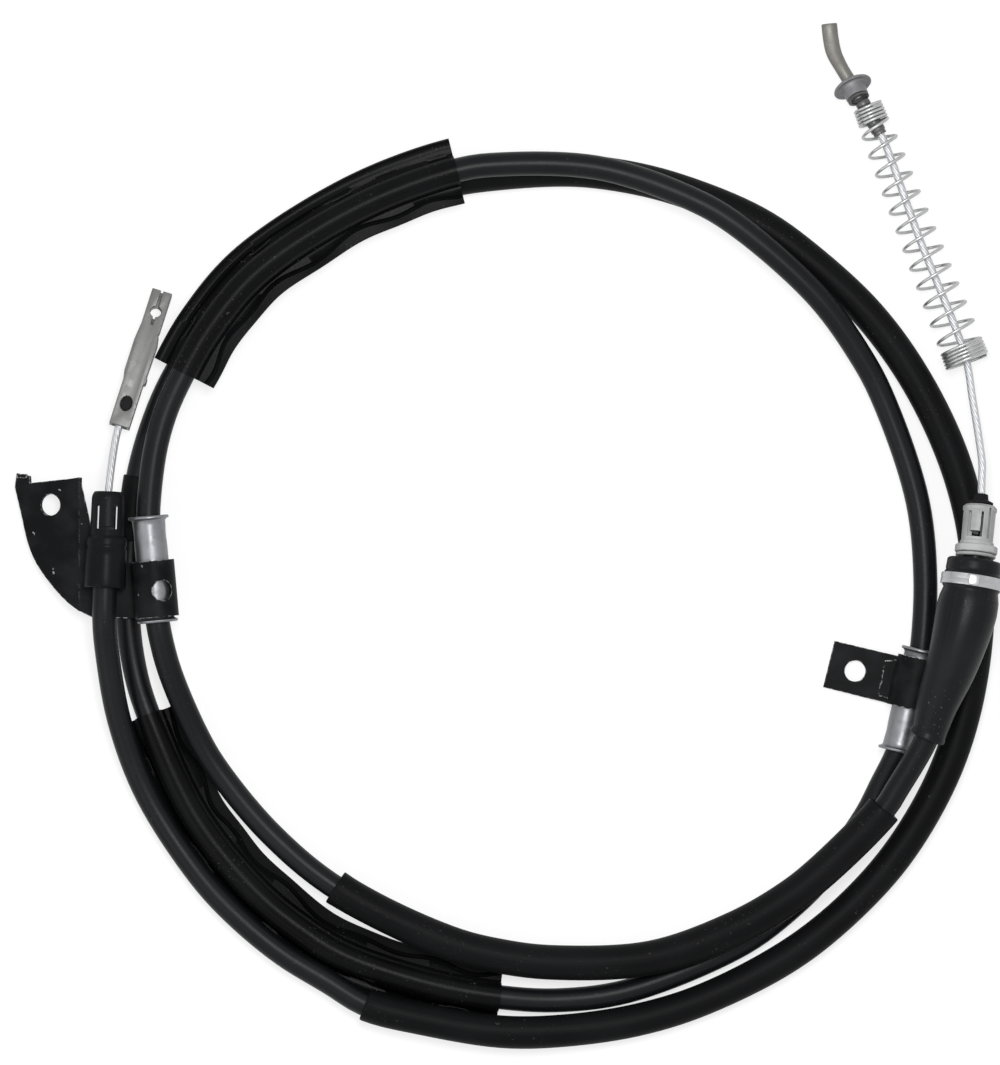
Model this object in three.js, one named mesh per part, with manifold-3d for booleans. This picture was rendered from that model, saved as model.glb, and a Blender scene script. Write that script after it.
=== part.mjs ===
import * as THREE from "three";
import { mergeVertices } from "three/addons/utils/BufferGeometryUtils.js";
import Module from "manifold-3d";

// Parking brake cable, coiled two and a half times and lying flat.
// Millimetres, +Z up. The rear end is at the upper right, the front end at the left.

// Fits
const SLIP = 0.35;
const SEAT = 0.3;

// Conduit and the steel strand inside it
const CONDUIT_R = 5.2;
const CONDUIT_BORE = 2.6;
const STRAND_R = 1.65;
const STATIONS = 80;

// Rubber sleeves, steel ferrules and finned guards on the conduit
const LOWER_SLEEVE_R = 7.5;
const OUTER_SLEEVE_R = 7.0;
const SHORT_SLEEVE_R = 6.3;
const FERRULE_R = 7.1;
const FERRULE_FLANGE_R = 8.7;
const FERRULE_FLANGE_T = 1.3;
const GUARD_R = 7.0;
const GUARD_WIDTH = 14.3;
const GUARD_FIN = 1.4;

// Brackets
const PLATE = 2.0;
const BAND = 1.9;
const LEFT_HOLE_R = 4.6;
const RIGHT_HOLE_R = 4.5;

// Rear fitting: distances run along its axis from the end of the boot
const REAR_ORIGIN = [199.6, -10.8, 27.4];
const REAR_AXIS = [0.104, 0.985, -0.137];
const REAR_SLIDE = [0.03, 0.99, -0.139];
const REAR_SOCKET = 6.1;
const REAR_TIP = 28.2;
const REAR_BORE = 3.5;

// Front fitting
const FRONT_ORIGIN = [-171.8, -23.4, 23.0];
const FRONT_AXIS = [0.037, 0.998, -0.05];
const FRONT_BORE = 3.5;
const FRONT_LENGTH = 41.5;

// Return spring
const SPRING_TOP = [155.0, 184.9, 10.1];
const SPRING_BOTTOM = [197.2, 73.5, 14.1];
const SPRING_WIRE = 0.7;
const SPRING_TOP_R = 6.8;
const SPRING_BOTTOM_R = 9.3;

// Route of the conduit, rear end first. Named rows are where pieces start and end.
const ROUTE = [
  [200.4, -4.7, 26.6, "conduitRear"], [199.6, -10.8, 27.4, "bootStart"], [195.9, -33.1, 28.9],
  [190.1, -54.6, 28.8], [183.6, -72.2, 27.6], [179.1, -86.9, 25.6, "bootEnd"], [166.4, -109.2, 22.2],
  [161.2, -117.4, 21.1, "lowerSleeveRear"], [135.8, -143.1, 19.2], [120.8, -155.2, 18.3],
  [98, -168.6, 16.6], [61.9, -181.5, 12.6], [20.4, -183.7, 9.6], [-2.1, -181.2, 9],
  [-24.9, -175.4, 9.4], [-73.7, -151.4, 9.5, "lowerSleeveFront"], [-101, -128.9, 7.3],
  [-123.1, -102.6, 7.8], [-132, -88, 9.8], [-144.5, -57.8, 17.2],
  [-149.2, -37.8, 20.7, "leftFerruleRear"], [-149.6, -33.5, 20.7], [-151.2, -15.5, 20.8],
  [-152.9, 3.5, 20.8], [-153.3, 7.7, 20.8, "leftFerruleFront"], [-150.5, 34.8, 21.2], [-145.6, 52.8, 21.4],
  [-138.2, 68.8, 21.6, "upperGuardRear"], [-127.4, 87.5, 21.6], [-107.1, 111.5, 21.6],
  [-64, 139.4, 21.6], [-21.4, 155.4, 21.6, "upperGuardFront"], [-3, 157.9, 20.8], [40, 156.3, 20],
  [80.8, 142.3, 19.8], [99.8, 130.9, 19.4], [132.8, 101.7, 16.1], [151.7, 76.1, 11.6],
  [161.2, 58.2, 9.2], [176, 14.6, 7.8], [179.4, -19.8, 9.2], [177.8, -49.4, 10.1, "rightFerruleRear"], [177, -53.4, 10.1],
  [172.6, -71.4, 10.1], [168.4, -89.4, 10.1], [167.5, -93.3, 10.1, "rightFerruleFront"], [160.1, -108.6, 6.9],
  [154.4, -120, 5.9], [135.9, -146.2, 5.4], [123, -159.4, 5.4], [100.8, -176.1, 5.4],
  [53.2, -195.8, 5.4], [22.8, -200.1, 5.6], [-3, -198.7, 7.4, "lowerGuardRear"], [-33.1, -193.3, 7.4],
  [-70.1, -181, 7.4], [-89.2, -169.2, 7.4], [-108.6, -152.9, 7.4], [-134.2, -120.8, 7.4],
  [-153.9, -77.4, 7.4, "lowerGuardFront"], [-159.5, -59.3, 5.5], [-162.6, -35.7, 5.4],
  [-161.2, -3, 6.4, "shortSleeveRear"], [-158.3, 24.5, 6.5, "shortSleeveFront"], [-150.1, 52.5, 5.5],
  [-140.6, 72.2, 5.4], [-127.7, 90.7, 5.4], [-110.5, 107.9, 5.4], [-89, 125.1, 5.4],
  [-67.5, 137.6, 5.5], [-28.8, 150.1, 7.4, "outerSleeveRear"], [-16.4, 152.9, 7.4], [18.9, 155.9, 7.4],
  [40, 155, 7.4], [69.7, 148.9, 7.4], [105.8, 134.4, 7.4], [129, 118.5, 7.4], [155.7, 93.6, 7.4],
  [177.6, 62.4, 7.4], [193.8, 25.8, 7.4], [201.7, -13.3, 7.4], [200.2, -57.2, 7.4],
  [190.3, -95.9, 7.4], [174, -127.9, 7.4], [154.9, -152.3, 7.4], [124.7, -178.4, 7.4],
  [85.6, -199.1, 7.4], [55.6, -208.5, 7.4], [22.8, -213.1, 8.8], [-3, -213.3, 10.1],
  [-36.9, -207.8, 10.1], [-60.6, -201.7, 9.4, "outerSleeveFront"], [-76.4, -192.3, 7.6],
  [-96.7, -179.9, 7.4], [-117.2, -162.7, 7.4], [-132.5, -145.7, 7.4], [-154.5, -111.7, 7.8],
  [-166.1, -79.8, 12.4], [-171.2, -49, 18.8], [-172, -37, 22.1], [-171.6, -18.1, 22.8, "conduitFront"],
];

const wasm = await Module();
wasm.setup();

const vec = (p) => new THREE.Vector3(p[0], p[1], p[2]);

// Solids for joining and cutting

function toSolid(geometry) {
  let g = geometry.index ? geometry.clone() : geometry;
  g.deleteAttribute("normal");
  g.deleteAttribute("uv");
  g = mergeVertices(g, 1e-4);
  const mesh = new wasm.Mesh({
    numProp: 3,
    vertProperties: new Float32Array(g.attributes.position.array),
    triVerts: new Uint32Array(g.index.array),
  });
  return new wasm.Manifold(mesh);
}

function toGeometry(solid) {
  const mesh = solid.getMesh();
  const g = new THREE.BufferGeometry();
  g.setAttribute("position", new THREE.BufferAttribute(new Float32Array(mesh.vertProperties), 3));
  g.setIndex(new THREE.BufferAttribute(new Uint32Array(mesh.triVerts), 1));
  return g;
}

function cut(body, ...tools) {
  let solid = body;
  for (const tool of tools) solid = solid.subtract(tool);
  return solid;
}

// Sections and revolved shapes

function polygon(radius, sides, turn = 0) {
  const points = [];
  for (let i = 0; i < sides; i += 1) {
    const a = turn + (i / sides) * 2 * Math.PI;
    points.push(new THREE.Vector2(radius * Math.cos(a), radius * Math.sin(a)));
  }
  return points;
}

// A bore whose flats clear a round of the given radius.
const boreRadius = (radius, gap, sides) => (radius + gap) / Math.cos(Math.PI / sides);

function ringSection(outer, inner, sides, boreSides = sides) {
  const shape = new THREE.Shape(polygon(outer, sides));
  if (inner > 0) shape.holes.push(new THREE.Path(polygon(inner, boreSides)));
  return shape;
}

// Revolves [radius, height] pairs about +Z; the profile closes on itself.
function revolve(profile, sides) {
  const points = profile.map(([r, z]) => new THREE.Vector2(r, z));
  points.push(points[0].clone());
  const g = new THREE.LatheGeometry(points, sides);
  g.rotateX(Math.PI / 2);
  return g;
}

function box(x0, x1, y0, y1, z0, z1) {
  const g = new THREE.BoxGeometry(x1 - x0, y1 - y0, z1 - z0);
  g.translate((x0 + x1) / 2, (y0 + y1) / 2, (z0 + z1) / 2);
  return g;
}

function rod(radius, z0, z1, sides) {
  const g = new THREE.CylinderGeometry(radius, radius, z1 - z0, sides);
  g.rotateX(Math.PI / 2);
  g.translate(0, 0, (z0 + z1) / 2);
  return g;
}

// Matrix whose local +Z runs along the axis and whose local +Y looks up.
function seatOn(origin, axis) {
  const z = vec(axis).normalize();
  const x = new THREE.Vector3().crossVectors(new THREE.Vector3(0, 0, 1), z).normalize();
  const y = new THREE.Vector3().crossVectors(z, x);
  return new THREE.Matrix4().makeBasis(x, y, z).setPosition(vec(origin));
}

// Shared stations along the conduit

const spine = new THREE.CatmullRomCurve3(ROUTE.map(vec), false, "centripetal");
spine.arcLengthDivisions = (ROUTE.length - 1) * 24;
const spineLengths = spine.getLengths();
const spineLength = spineLengths[spineLengths.length - 1];
const mark = (name) => spineLengths[ROUTE.findIndex((row) => row[3] === name) * 24];

// Evenly spaced, with the nearest one moved to each named row.
const stationPlaces = Array.from({ length: STATIONS + 1 }, (_, i) => (i * spineLength) / STATIONS);
for (const row of ROUTE.filter((point) => point[3])) {
  const s = mark(row[3]);
  stationPlaces[Math.round((s / spineLength) * STATIONS)] = s;
}
const stationPoints = stationPlaces.map((s) => spine.getPointAt(s / spineLength));

// A place on the straight run between two stations.
function pointAt(s) {
  let i = 0;
  while (i < STATIONS - 1 && stationPlaces[i + 1] < s) i += 1;
  const f = (s - stationPlaces[i]) / (stationPlaces[i + 1] - stationPlaces[i]);
  return stationPoints[i].clone().lerp(stationPoints[i + 1], f);
}

const tangentAt = (s) => spine.getTangentAt(Math.min(Math.max(s / spineLength, 0), 1));

// Arc lengths from one place to another, with every shared station between them.
function stretchOf(from, to) {
  const list = [from];
  for (const s of stationPlaces) {
    if (s > from + 0.01 && s < to - 0.01) list.push(s);
  }
  list.push(to);
  return list;
}

class Stretch extends THREE.Curve {
  constructor(places) {
    super();
    this.places = places;
  }

  getSpacedPoints() {
    return this.places.map(pointAt);
  }

  getTangentAt(u) {
    return tangentAt(this.places[Math.round(u * (this.places.length - 1))]);
  }
}

function alongRoute(shape, from, to) {
  const places = stretchOf(from, to);
  return new THREE.ExtrudeGeometry(shape, {
    steps: places.length - 1,
    extrudePath: new Stretch(places),
    bevelEnabled: false,
  });
}

// Extrudes a section along a list of points.
function alongPoints(shape, points, steps) {
  const curve = new THREE.CatmullRomCurve3(points.map((p) => (p.isVector3 ? p : vec(p))));
  return new THREE.ExtrudeGeometry(shape, { steps, extrudePath: curve, bevelEnabled: false });
}

// Closed body between matching rings: outer skin, optional bore, flat ends.
function loft(outer, inner) {
  const n = outer[0].length;
  const rings = outer.length;
  const position = [];
  const index = [];
  const put = (ring) => {
    for (const p of ring) position.push(p.x, p.y, p.z);
  };
  outer.forEach(put);
  if (inner) inner.forEach(put);
  const at = (skin, k, i) => (skin * rings + k) * n + (i % n);
  const quad = (a, b, c, d) => index.push(a, b, c, a, c, d);
  for (let k = 0; k < rings - 1; k += 1) {
    for (let i = 0; i < n; i += 1) {
      quad(at(0, k, i), at(0, k, i + 1), at(0, k + 1, i + 1), at(0, k + 1, i));
      if (inner) quad(at(1, k, i + 1), at(1, k, i), at(1, k + 1, i), at(1, k + 1, i + 1));
    }
  }
  const last = rings - 1;
  for (let i = 0; i < n; i += 1) {
    if (inner) {
      quad(at(0, 0, i + 1), at(0, 0, i), at(1, 0, i), at(1, 0, i + 1));
      quad(at(0, last, i), at(0, last, i + 1), at(1, last, i + 1), at(1, last, i));
    } else if (i > 0 && i < n - 1) {
      index.push(at(0, 0, 0), at(0, 0, i + 1), at(0, 0, i));
      index.push(at(0, last, 0), at(0, last, i), at(0, last, i + 1));
    }
  }
  const g = new THREE.BufferGeometry();
  g.setAttribute("position", new THREE.BufferAttribute(new Float32Array(position), 3));
  g.setIndex(index);
  return g;
}

// Ring of points round a place: section points are [across, up].
function ringAt(place, tangent, section) {
  const side = new THREE.Vector3().crossVectors(tangent, new THREE.Vector3(0, 0, 1)).normalize();
  const up = new THREE.Vector3().crossVectors(side, tangent).normalize();
  return section.map(([a, b]) => place.clone().addScaledVector(side, a).addScaledVector(up, b));
}

// Section points run clockwise seen along the tangent, so that loft faces point out.
const circle = (radius, sides) =>
  Array.from({ length: sides }, (_, i) => {
    const a = -(i / sides) * 2 * Math.PI;
    return [radius * Math.cos(a), radius * Math.sin(a)];
  });

// The pieces on the route

const conduit = alongRoute(
  ringSection(CONDUIT_R, CONDUIT_BORE, 10, 6),
  mark("conduitRear"),
  mark("conduitFront"),
);

const innerCable = alongRoute(
  ringSection(STRAND_R, 0, 6),
  mark("conduitRear") + 1,
  mark("conduitFront") - 1,
);

function sleeve(outerRadius, from, to, sides) {
  const inner = boreRadius(CONDUIT_R, SLIP, sides);
  return alongRoute(ringSection(outerRadius, inner, sides), from, to);
}

// Tapered rubber boot: radius against distance from its collar.
const BOOT_PROFILE = [
  [0, 11.8], [5, 11.9], [5.6, 12.4], [13, 12.4], [13.6, 12.2], [22, 13.0], [34, 12.4],
  [48, 10.9], [62, 9.3], [74, 7.6], [79, 7.0],
];

function bootRadius(s) {
  const k = Math.max(1, BOOT_PROFILE.findIndex(([end]) => end >= s - 1e-6));
  const [[s0, r0], [s1, r1]] = [BOOT_PROFILE[k - 1], BOOT_PROFILE[k]];
  return THREE.MathUtils.mapLinear(s, s0, s1, r0, r1);
}

function boot() {
  const start = mark("bootStart") + 0.4;
  const sides = 16;
  const outer = [];
  const inner = [];
  const [reach] = BOOT_PROFILE[BOOT_PROFILE.length - 1];
  const places = [...stretchOf(start, start + reach), ...BOOT_PROFILE.map(([s]) => start + s)];
  for (const s of [...new Set(places)].sort((a, b) => a - b)) {
    const place = pointAt(s);
    const tangent = tangentAt(s);
    outer.push(ringAt(place, tangent, circle(bootRadius(s - start), sides)));
    inner.push(ringAt(place, tangent, circle(boreRadius(CONDUIT_R, SLIP, sides), sides)));
  }
  return loft(outer, inner);
}

// Faceted clamp band round the boot, with a raised ear where it is crimped.
function clampBand() {
  const s = mark("bootStart") + 0.4 + 9.3;
  const inner = 12.4 + SLIP;
  const outer = 13.4;
  const half = 2.4;
  const ring = toSolid(revolve([[inner, -half], [outer, -half], [outer, half], [inner, half]], 22));
  const ear = toSolid(box(-2.6, 2.6, outer - 0.7, outer + 1.0, -half + 0.3, half - 0.3));
  const tangent = tangentAt(s);
  const g = toGeometry(ring.add(ear));
  g.applyMatrix4(seatOn(pointAt(s).toArray(), tangent.toArray()));
  return g;
}

// Steel ferrule with a rolled flange at each end, straight between its marks.
function ferruleFrame(rear, front) {
  const a = pointAt(mark(rear));
  const b = pointAt(mark(front));
  const axis = b.clone().sub(a);
  return { length: axis.length(), matrix: seatOn(a.toArray(), axis.toArray()) };
}

function ferrule(rear, front) {
  const { length, matrix } = ferruleFrame(rear, front);
  const bore = CONDUIT_R + 0.75;
  const g = revolve([
    [bore + 0.5, 0], [FERRULE_FLANGE_R, 0], [FERRULE_FLANGE_R, FERRULE_FLANGE_T],
    [FERRULE_R + 0.5, FERRULE_FLANGE_T], [FERRULE_R, FERRULE_FLANGE_T + 0.7],
    [FERRULE_R, length - FERRULE_FLANGE_T - 0.7], [FERRULE_R + 0.5, length - FERRULE_FLANGE_T],
    [FERRULE_FLANGE_R, length - FERRULE_FLANGE_T], [FERRULE_FLANGE_R, length], [bore + 0.5, length],
    [bore, length - 3], [bore, 3],
  ], 16);
  g.applyMatrix4(matrix);
  return g;
}

// Steel band wrapped round a ferrule, in the ferrule's own frame.
function band(from, to, rear, front) {
  const { matrix } = ferruleFrame(rear, front);
  const inner = boreRadius(FERRULE_R, SLIP, 16);
  const outer = inner + BAND;
  const g = revolve([[inner, from], [outer, from], [outer, to], [inner, to]], 16);
  g.applyMatrix4(matrix);
  return toSolid(g);
}

function plate(outline, z0, thickness) {
  const shape = new THREE.Shape(outline.map(([x, y]) => new THREE.Vector2(x, y)));
  const g = new THREE.ExtrudeGeometry(shape, { depth: thickness, bevelEnabled: false });
  g.translate(0, 0, z0);
  return g;
}

const drill = (x, y, radius, z0, z1) => {
  const g = rod(radius, z0, z1, 16);
  g.translate(x, y, 0);
  return toSolid(g);
};

// Left bracket: a curved plate whose outer half dips to the floor, wrapped round the ferrule.
const LEFT_PLATE_Z = 11.55;
const LEFT_BEND_X = -183;
const LEFT_DIP = 20;
const LEFT_FLAT = [
  [-184, 24.3], [-183.8, 24.3], [-178.2, 3.9], [-177.5, -12.3], [-151.5, -12.3], [-153.5, -36.2],
  [-177.6, -35.7], [-181.2, -34], [-184, -32.4],
];
const LEFT_TAB = [
  [-183, 24.3], [-186.7, 23.7], [-204.5, 21.9], [-204.7, 24.9], [-210.3, 26.1], [-211.1, 20.2],
  [-208.1, 7.7], [-205.5, -3.4], [-201.7, -12.5], [-195, -21.9], [-188.3, -29], [-183, -33],
];
const LEFT_HOLE = [-195.5, 12.5];

function leftBracket() {
  const tilt = THREE.MathUtils.degToRad(LEFT_DIP);
  const spread = 1 / Math.cos(tilt);
  const toBend = ([x, y]) => [(x - LEFT_BEND_X) * spread, y];
  const tab = cut(
    toSolid(plate(LEFT_TAB.map(toBend), -PLATE / 2, PLATE)),
    drill(...toBend(LEFT_HOLE), LEFT_HOLE_R, -5, 5),
  );
  const dip = new THREE.Matrix4().makeRotationY(-tilt);
  dip.setPosition(LEFT_BEND_X, 0, LEFT_PLATE_Z + PLATE / 2);
  const dipped = toGeometry(tab);
  dipped.applyMatrix4(dip);
  const flat = toSolid(plate(LEFT_FLAT, LEFT_PLATE_Z, PLATE));
  const wrap = band(2.3, 26.5, "leftFerruleRear", "leftFerruleFront");
  const bore = boreRadius(FERRULE_R, SLIP, 16);
  const { matrix, length } = ferruleFrame("leftFerruleRear", "leftFerruleFront");
  const clear = rod(bore, -1, length + 1, 16);
  clear.applyMatrix4(matrix);
  const windowHole = rod(4.4, 0, 16, 12);
  windowHole.rotateX(-Math.PI / 2);
  windowHole.rotateZ(-0.5);
  windowHole.translate(0, 0, 13.5);
  windowHole.applyMatrix4(matrix);
  return toGeometry(cut(wrap.add(flat).add(toSolid(dipped)), toSolid(clear), toSolid(windowHole)));
}

// Right bracket: a flat tab on the floor, wrapped round the ferrule.
const RIGHT_TAB = [
  [140.8, -45.9], [135.9, -65.8], [171.6, -74.8], [176.5, -54.2], [170.7, -52.9], [164.7, -51.6],
];
const RIGHT_HOLE = [149.6, -58.9];

function rightBracket() {
  const wrap = band(4, 26, "rightFerruleRear", "rightFerruleFront");
  const tab = cut(toSolid(plate(RIGHT_TAB, 0, PLATE)), drill(...RIGHT_HOLE, RIGHT_HOLE_R, -5, 5));
  const { matrix, length } = ferruleFrame("rightFerruleRear", "rightFerruleFront");
  const clear = rod(boreRadius(FERRULE_R, SLIP, 16), -1, length + 1, 16);
  clear.applyMatrix4(matrix);
  return toGeometry(cut(wrap.add(tab), toSolid(clear)));
}

// Finned guard: a hump over the conduit and a flat fin on each side, wavy on the inner edge.
function guard(from, to, outerFin, innerFin, wave) {
  const places = stretchOf(from, to);
  const fine = [];
  for (let i = 0; i < places.length - 1; i += 1) {
    fine.push(places[i], (places[i] + places[i + 1]) / 2);
  }
  fine.push(to);
  const arc = 9;
  const bore = boreRadius(CONDUIT_R, SLIP, 16);
  const outer = [];
  const inner = [];
  const innerSection = circle(bore, 16);
  fine.forEach((s, k) => {
    const w = innerFin + wave * Math.sin(k * 1.9);
    const skin = [[-outerFin, -GUARD_R], [-outerFin, -GUARD_R + GUARD_FIN]];
    for (let i = 0; i < arc; i += 1) {
      const a = Math.PI + 0.82 - (i / (arc - 1)) * (Math.PI + 1.64);
      skin.push([GUARD_R * Math.cos(a), Math.max(GUARD_R * Math.sin(a), -GUARD_R + GUARD_FIN)]);
    }
    skin.push([w, -GUARD_R + GUARD_FIN], [w, -GUARD_R], [5, -GUARD_R], [0, -GUARD_R], [-5, -GUARD_R]);
    const place = pointAt(s);
    const tangent = tangentAt(s);
    outer.push(ringAt(place, tangent, skin));
    inner.push(ringAt(place, tangent, innerSection));
  });
  return loft(outer, inner);
}

// Rear fitting: snap-in body with a tongue between slots, on both faces.
function rearFitting() {
  const socket = CONDUIT_R + 0.85;
  const body = toSolid(revolve([
    [socket, 2.6], [9.1, 2.6], [9.1, 5.8], [7.3, 5.8], [7.3, 7.4], [6.8, 8.0], [6.9, 20.8], [6.5, 23.3],
    [REAR_BORE, 23.3], [REAR_BORE, REAR_SOCKET + 0.4], [socket, REAR_SOCKET + 0.4],
  ], 18));
  const slots = [];
  for (const face of [1, -1]) {
    const y0 = face > 0 ? 2.2 : -8;
    const y1 = face > 0 ? 8 : -2.2;
    slots.push(toSolid(box(-1.4, -0.4, y0, y1, 11, 20)));
    slots.push(toSolid(box(3.7, 4.9, y0, y1, 9, 20)));
    slots.push(toSolid(box(-1.4, 4.9, y0, y1, 9, 11.6)));
  }
  const g = toGeometry(cut(body, ...slots));
  g.applyMatrix4(seatOn(REAR_ORIGIN, REAR_AXIS));
  return g;
}

function rearPiece(profile, sides) {
  const g = revolve(profile, sides);
  g.applyMatrix4(seatOn(REAR_ORIGIN, REAR_AXIS));
  return g;
}

const rearRing = () => rearPiece([
  [CONDUIT_R + 0.55, 0.9], [8.6, 0.9], [8.6, 2.3], [CONDUIT_R + 0.55, 2.3],
], 20);

const rubberTip = () => rearPiece([
  [2.3, 23.6], [5.4, 23.6], [5.4, 25.0], [3.2, 25.6], [2.9, REAR_TIP], [2.3, REAR_TIP],
], 16);

// Moving rear end: strand, end fitting, flange, ring, crimp barrel and spring.
const rearTip = vec(REAR_ORIGIN).addScaledVector(vec(REAR_AXIS).normalize(), REAR_TIP);
const rearSlide = vec(REAR_SLIDE).normalize();
const springAxis = vec(SPRING_BOTTOM).sub(vec(SPRING_TOP)).normalize();
const barrelTop = [151.9, 185.8, 9.75];
const barrelEnd = [160.8, 169.9, 10.6];

function rearStrand() {
  const straight = [-6, 0, 7, 13].map((d) => rearTip.clone().addScaledVector(rearSlide, d));
  const foot = vec(SPRING_BOTTOM).addScaledVector(springAxis, -3);
  const bend = [[201.6, 41.5, 19.2], [199.2, 57.5, 16.4]].map(vec);
  const end = vec(barrelEnd).lerp(vec(barrelTop), 0.25);
  const middle = foot.clone().lerp(end, 0.5);
  const mouth = vec(barrelEnd).lerp(vec(barrelTop), -0.12);
  const points = [...straight, ...bend, foot, middle, mouth, end];
  return alongPoints(new THREE.Shape(polygon(STRAND_R, 8)), points, 24);
}

const BARREL_RIBS = 5;

const END_TUBE = [
  [138.2, 218.9, 7.6], [139.3, 210.7, 7.8], [141.6, 204.2, 8.3], [145.4, 198.6, 8.9],
  [148.6, 192.6, 9.3], [151.5, 186.4, 9.6],
];

function rearEndFitting() {
  const curve = new THREE.CatmullRomCurve3(END_TUBE.map(vec));
  const steps = 10;
  const outer = [];
  const inner = [];
  for (let k = 0; k <= steps; k += 1) {
    const u = k / steps;
    const flat = THREE.MathUtils.smoothstep(0.62 - u, 0, 0.35);
    const wide = 2.9 + 0.5 * flat;
    const high = 2.9 - 0.9 * flat;
    const place = curve.getPointAt(u);
    const tangent = curve.getTangentAt(u);
    outer.push(ringAt(place, tangent, circle(1, 10).map(([a, b]) => [a * wide, b * high])));
    inner.push(ringAt(place, tangent, circle(1, 10).map(([a, b]) => [a * (wide - 1), b * (high - 1)])));
  }
  return loft(outer, inner);
}

const NECK = [148.6, 192.6, 9.3];
const NECK_AXIS = [0.42, -0.905, 0.05];

function onNeck(geometry) {
  geometry.applyMatrix4(seatOn(NECK, NECK_AXIS));
  return geometry;
}

const flangeCollar = () => onNeck(revolve([
  [3.3, -1.6], [4.6, -1.5], [7.2, -0.4], [8.2, 0.9], [7.9, 1.5], [6.4, 0.8], [5.1, 1.2], [4.9, 4.6],
  [3.3, 4.6],
], 16));

const flangeRing = () => onNeck(revolve([
  [3.3, 5.0], [4.5, 5.0], [4.5, 5.9], [3.3, 5.9],
], 14));

function crimpBarrel() {
  const profile = [[2.0, 0], [2.9, 0]];
  const axis = vec(barrelEnd).sub(vec(barrelTop));
  const length = axis.length();
  const pitch = (length - 1.4) / BARREL_RIBS;
  for (let i = 0; i < BARREL_RIBS; i += 1) {
    const z = 0.7 + i * pitch;
    profile.push([3.2, z + 0.3], [3.2, z + pitch - 0.9], [2.8, z + pitch - 0.5]);
  }
  profile.push([2.9, length], [2.0, length]);
  const g = revolve(profile, 10);
  g.applyMatrix4(seatOn(barrelTop, axis.toArray()));
  return g;
}

// Closed coils at each end, twelve open coils between; the radius grows toward the bottom.
class SpringLine extends THREE.Curve {
  constructor() {
    super();
    this.top = vec(SPRING_TOP);
    this.bottom = vec(SPRING_BOTTOM);
    this.length = this.bottom.distanceTo(this.top);
    this.side = new THREE.Vector3().crossVectors(new THREE.Vector3(0, 0, 1), springAxis).normalize();
    this.up = new THREE.Vector3().crossVectors(springAxis, this.side);
  }

  getPoint(t, target = new THREE.Vector3()) {
    const closed = 1.75;
    const turns = t * SPRING_TURNS;
    const openTurns = SPRING_TURNS - 4 - 5;
    const openPitch = (this.length - 9 * closed) / openTurns;
    let along = turns * closed;
    if (turns > 4) along = 4 * closed + (turns - 4) * openPitch;
    if (turns > 4 + openTurns) along = this.length - (SPRING_TURNS - turns) * closed;
    const radius = THREE.MathUtils.lerp(SPRING_TOP_R, SPRING_BOTTOM_R, along / this.length);
    const a = turns * 2 * Math.PI;
    return target.copy(this.top).addScaledVector(springAxis, along)
      .addScaledVector(this.side, radius * Math.cos(a)).addScaledVector(this.up, radius * Math.sin(a));
  }
}
const SPRING_TURNS = 21;

function returnSpring() {
  const line = new SpringLine();
  const steps = SPRING_TURNS * 10;
  const outer = [];
  for (let k = 0; k <= steps; k += 1) {
    const t = k / steps;
    const place = line.getPoint(t);
    const tangent = line.getTangent(t);
    const radial = place.clone().sub(line.top);
    radial.addScaledVector(springAxis, -radial.dot(springAxis)).normalize();
    const other = new THREE.Vector3().crossVectors(radial, tangent).normalize();
    const ring = circle(SPRING_WIRE, 5).map(([a, b]) =>
      place.clone().addScaledVector(radial, a).addScaledVector(other, b));
    outer.push(ring);
  }
  return loft(outer, null);
}

// Front fitting: collar over the conduit, snap fingers round the mouth.
function frontFitting() {
  const socket = CONDUIT_R + 0.75;
  const body = toSolid(revolve([
    [socket + 0.9, 0.3], [8.3, 0.3], [8.6, 1.4], [8.5, 15.4], [7.7, 16.6], [7.3, 16.9], [7.3, 18.4], [6.9, 18.8],
    [6.9, 39.6], [6.2, FRONT_LENGTH], [FRONT_BORE, FRONT_LENGTH], [FRONT_BORE, 6.2], [socket, 6.2], [socket, 2.2],
  ], 18));
  const slots = [];
  for (const face of [1, -1]) {
    const y0 = face > 0 ? 2.0 : -9;
    const y1 = face > 0 ? 9 : -2.0;
    slots.push(toSolid(box(-4.2, -3.1, y0, y1, 26, 36)));
    slots.push(toSolid(box(3.1, 4.2, y0, y1, 26, 36)));
    slots.push(toSolid(box(-4.2, 4.2, y0, y1, 25, 26.6)));
  }
  const g = toGeometry(cut(body, ...slots));
  g.applyMatrix4(seatOn(FRONT_ORIGIN, FRONT_AXIS));
  return g;
}

// Front terminal: a strip rolled into a box round the strand, with a round hole at its free end.
const TERMINAL_FOOT = [-166.0, 46.0, 14.0];
const TERMINAL_HEAD = [-147.9, 104.3, 3.35];
const TERMINAL_OUTLINE = [
  [-4.5, 0], [4.5, 0], [4.5, 20], [5.4, 20.6], [5.4, 23], [4.9, 23.6], [5.2, 38], [4.6, 41.6], [4.0, 42.2],
  [4.2, 43.2], [4.4, 44], [4.4, 61.5], [-4.4, 61.5], [-4.4, 46], [-5.2, 38], [-5.2, 24], [-4.5, 20],
];
const TERMINAL_HALF = 3.1;
const TERMINAL_WALL = 1.15;

const terminalMatrix = () => {
  const axis = vec(TERMINAL_HEAD).sub(vec(TERMINAL_FOOT));
  return seatOn(TERMINAL_FOOT, axis.toArray());
};

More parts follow.
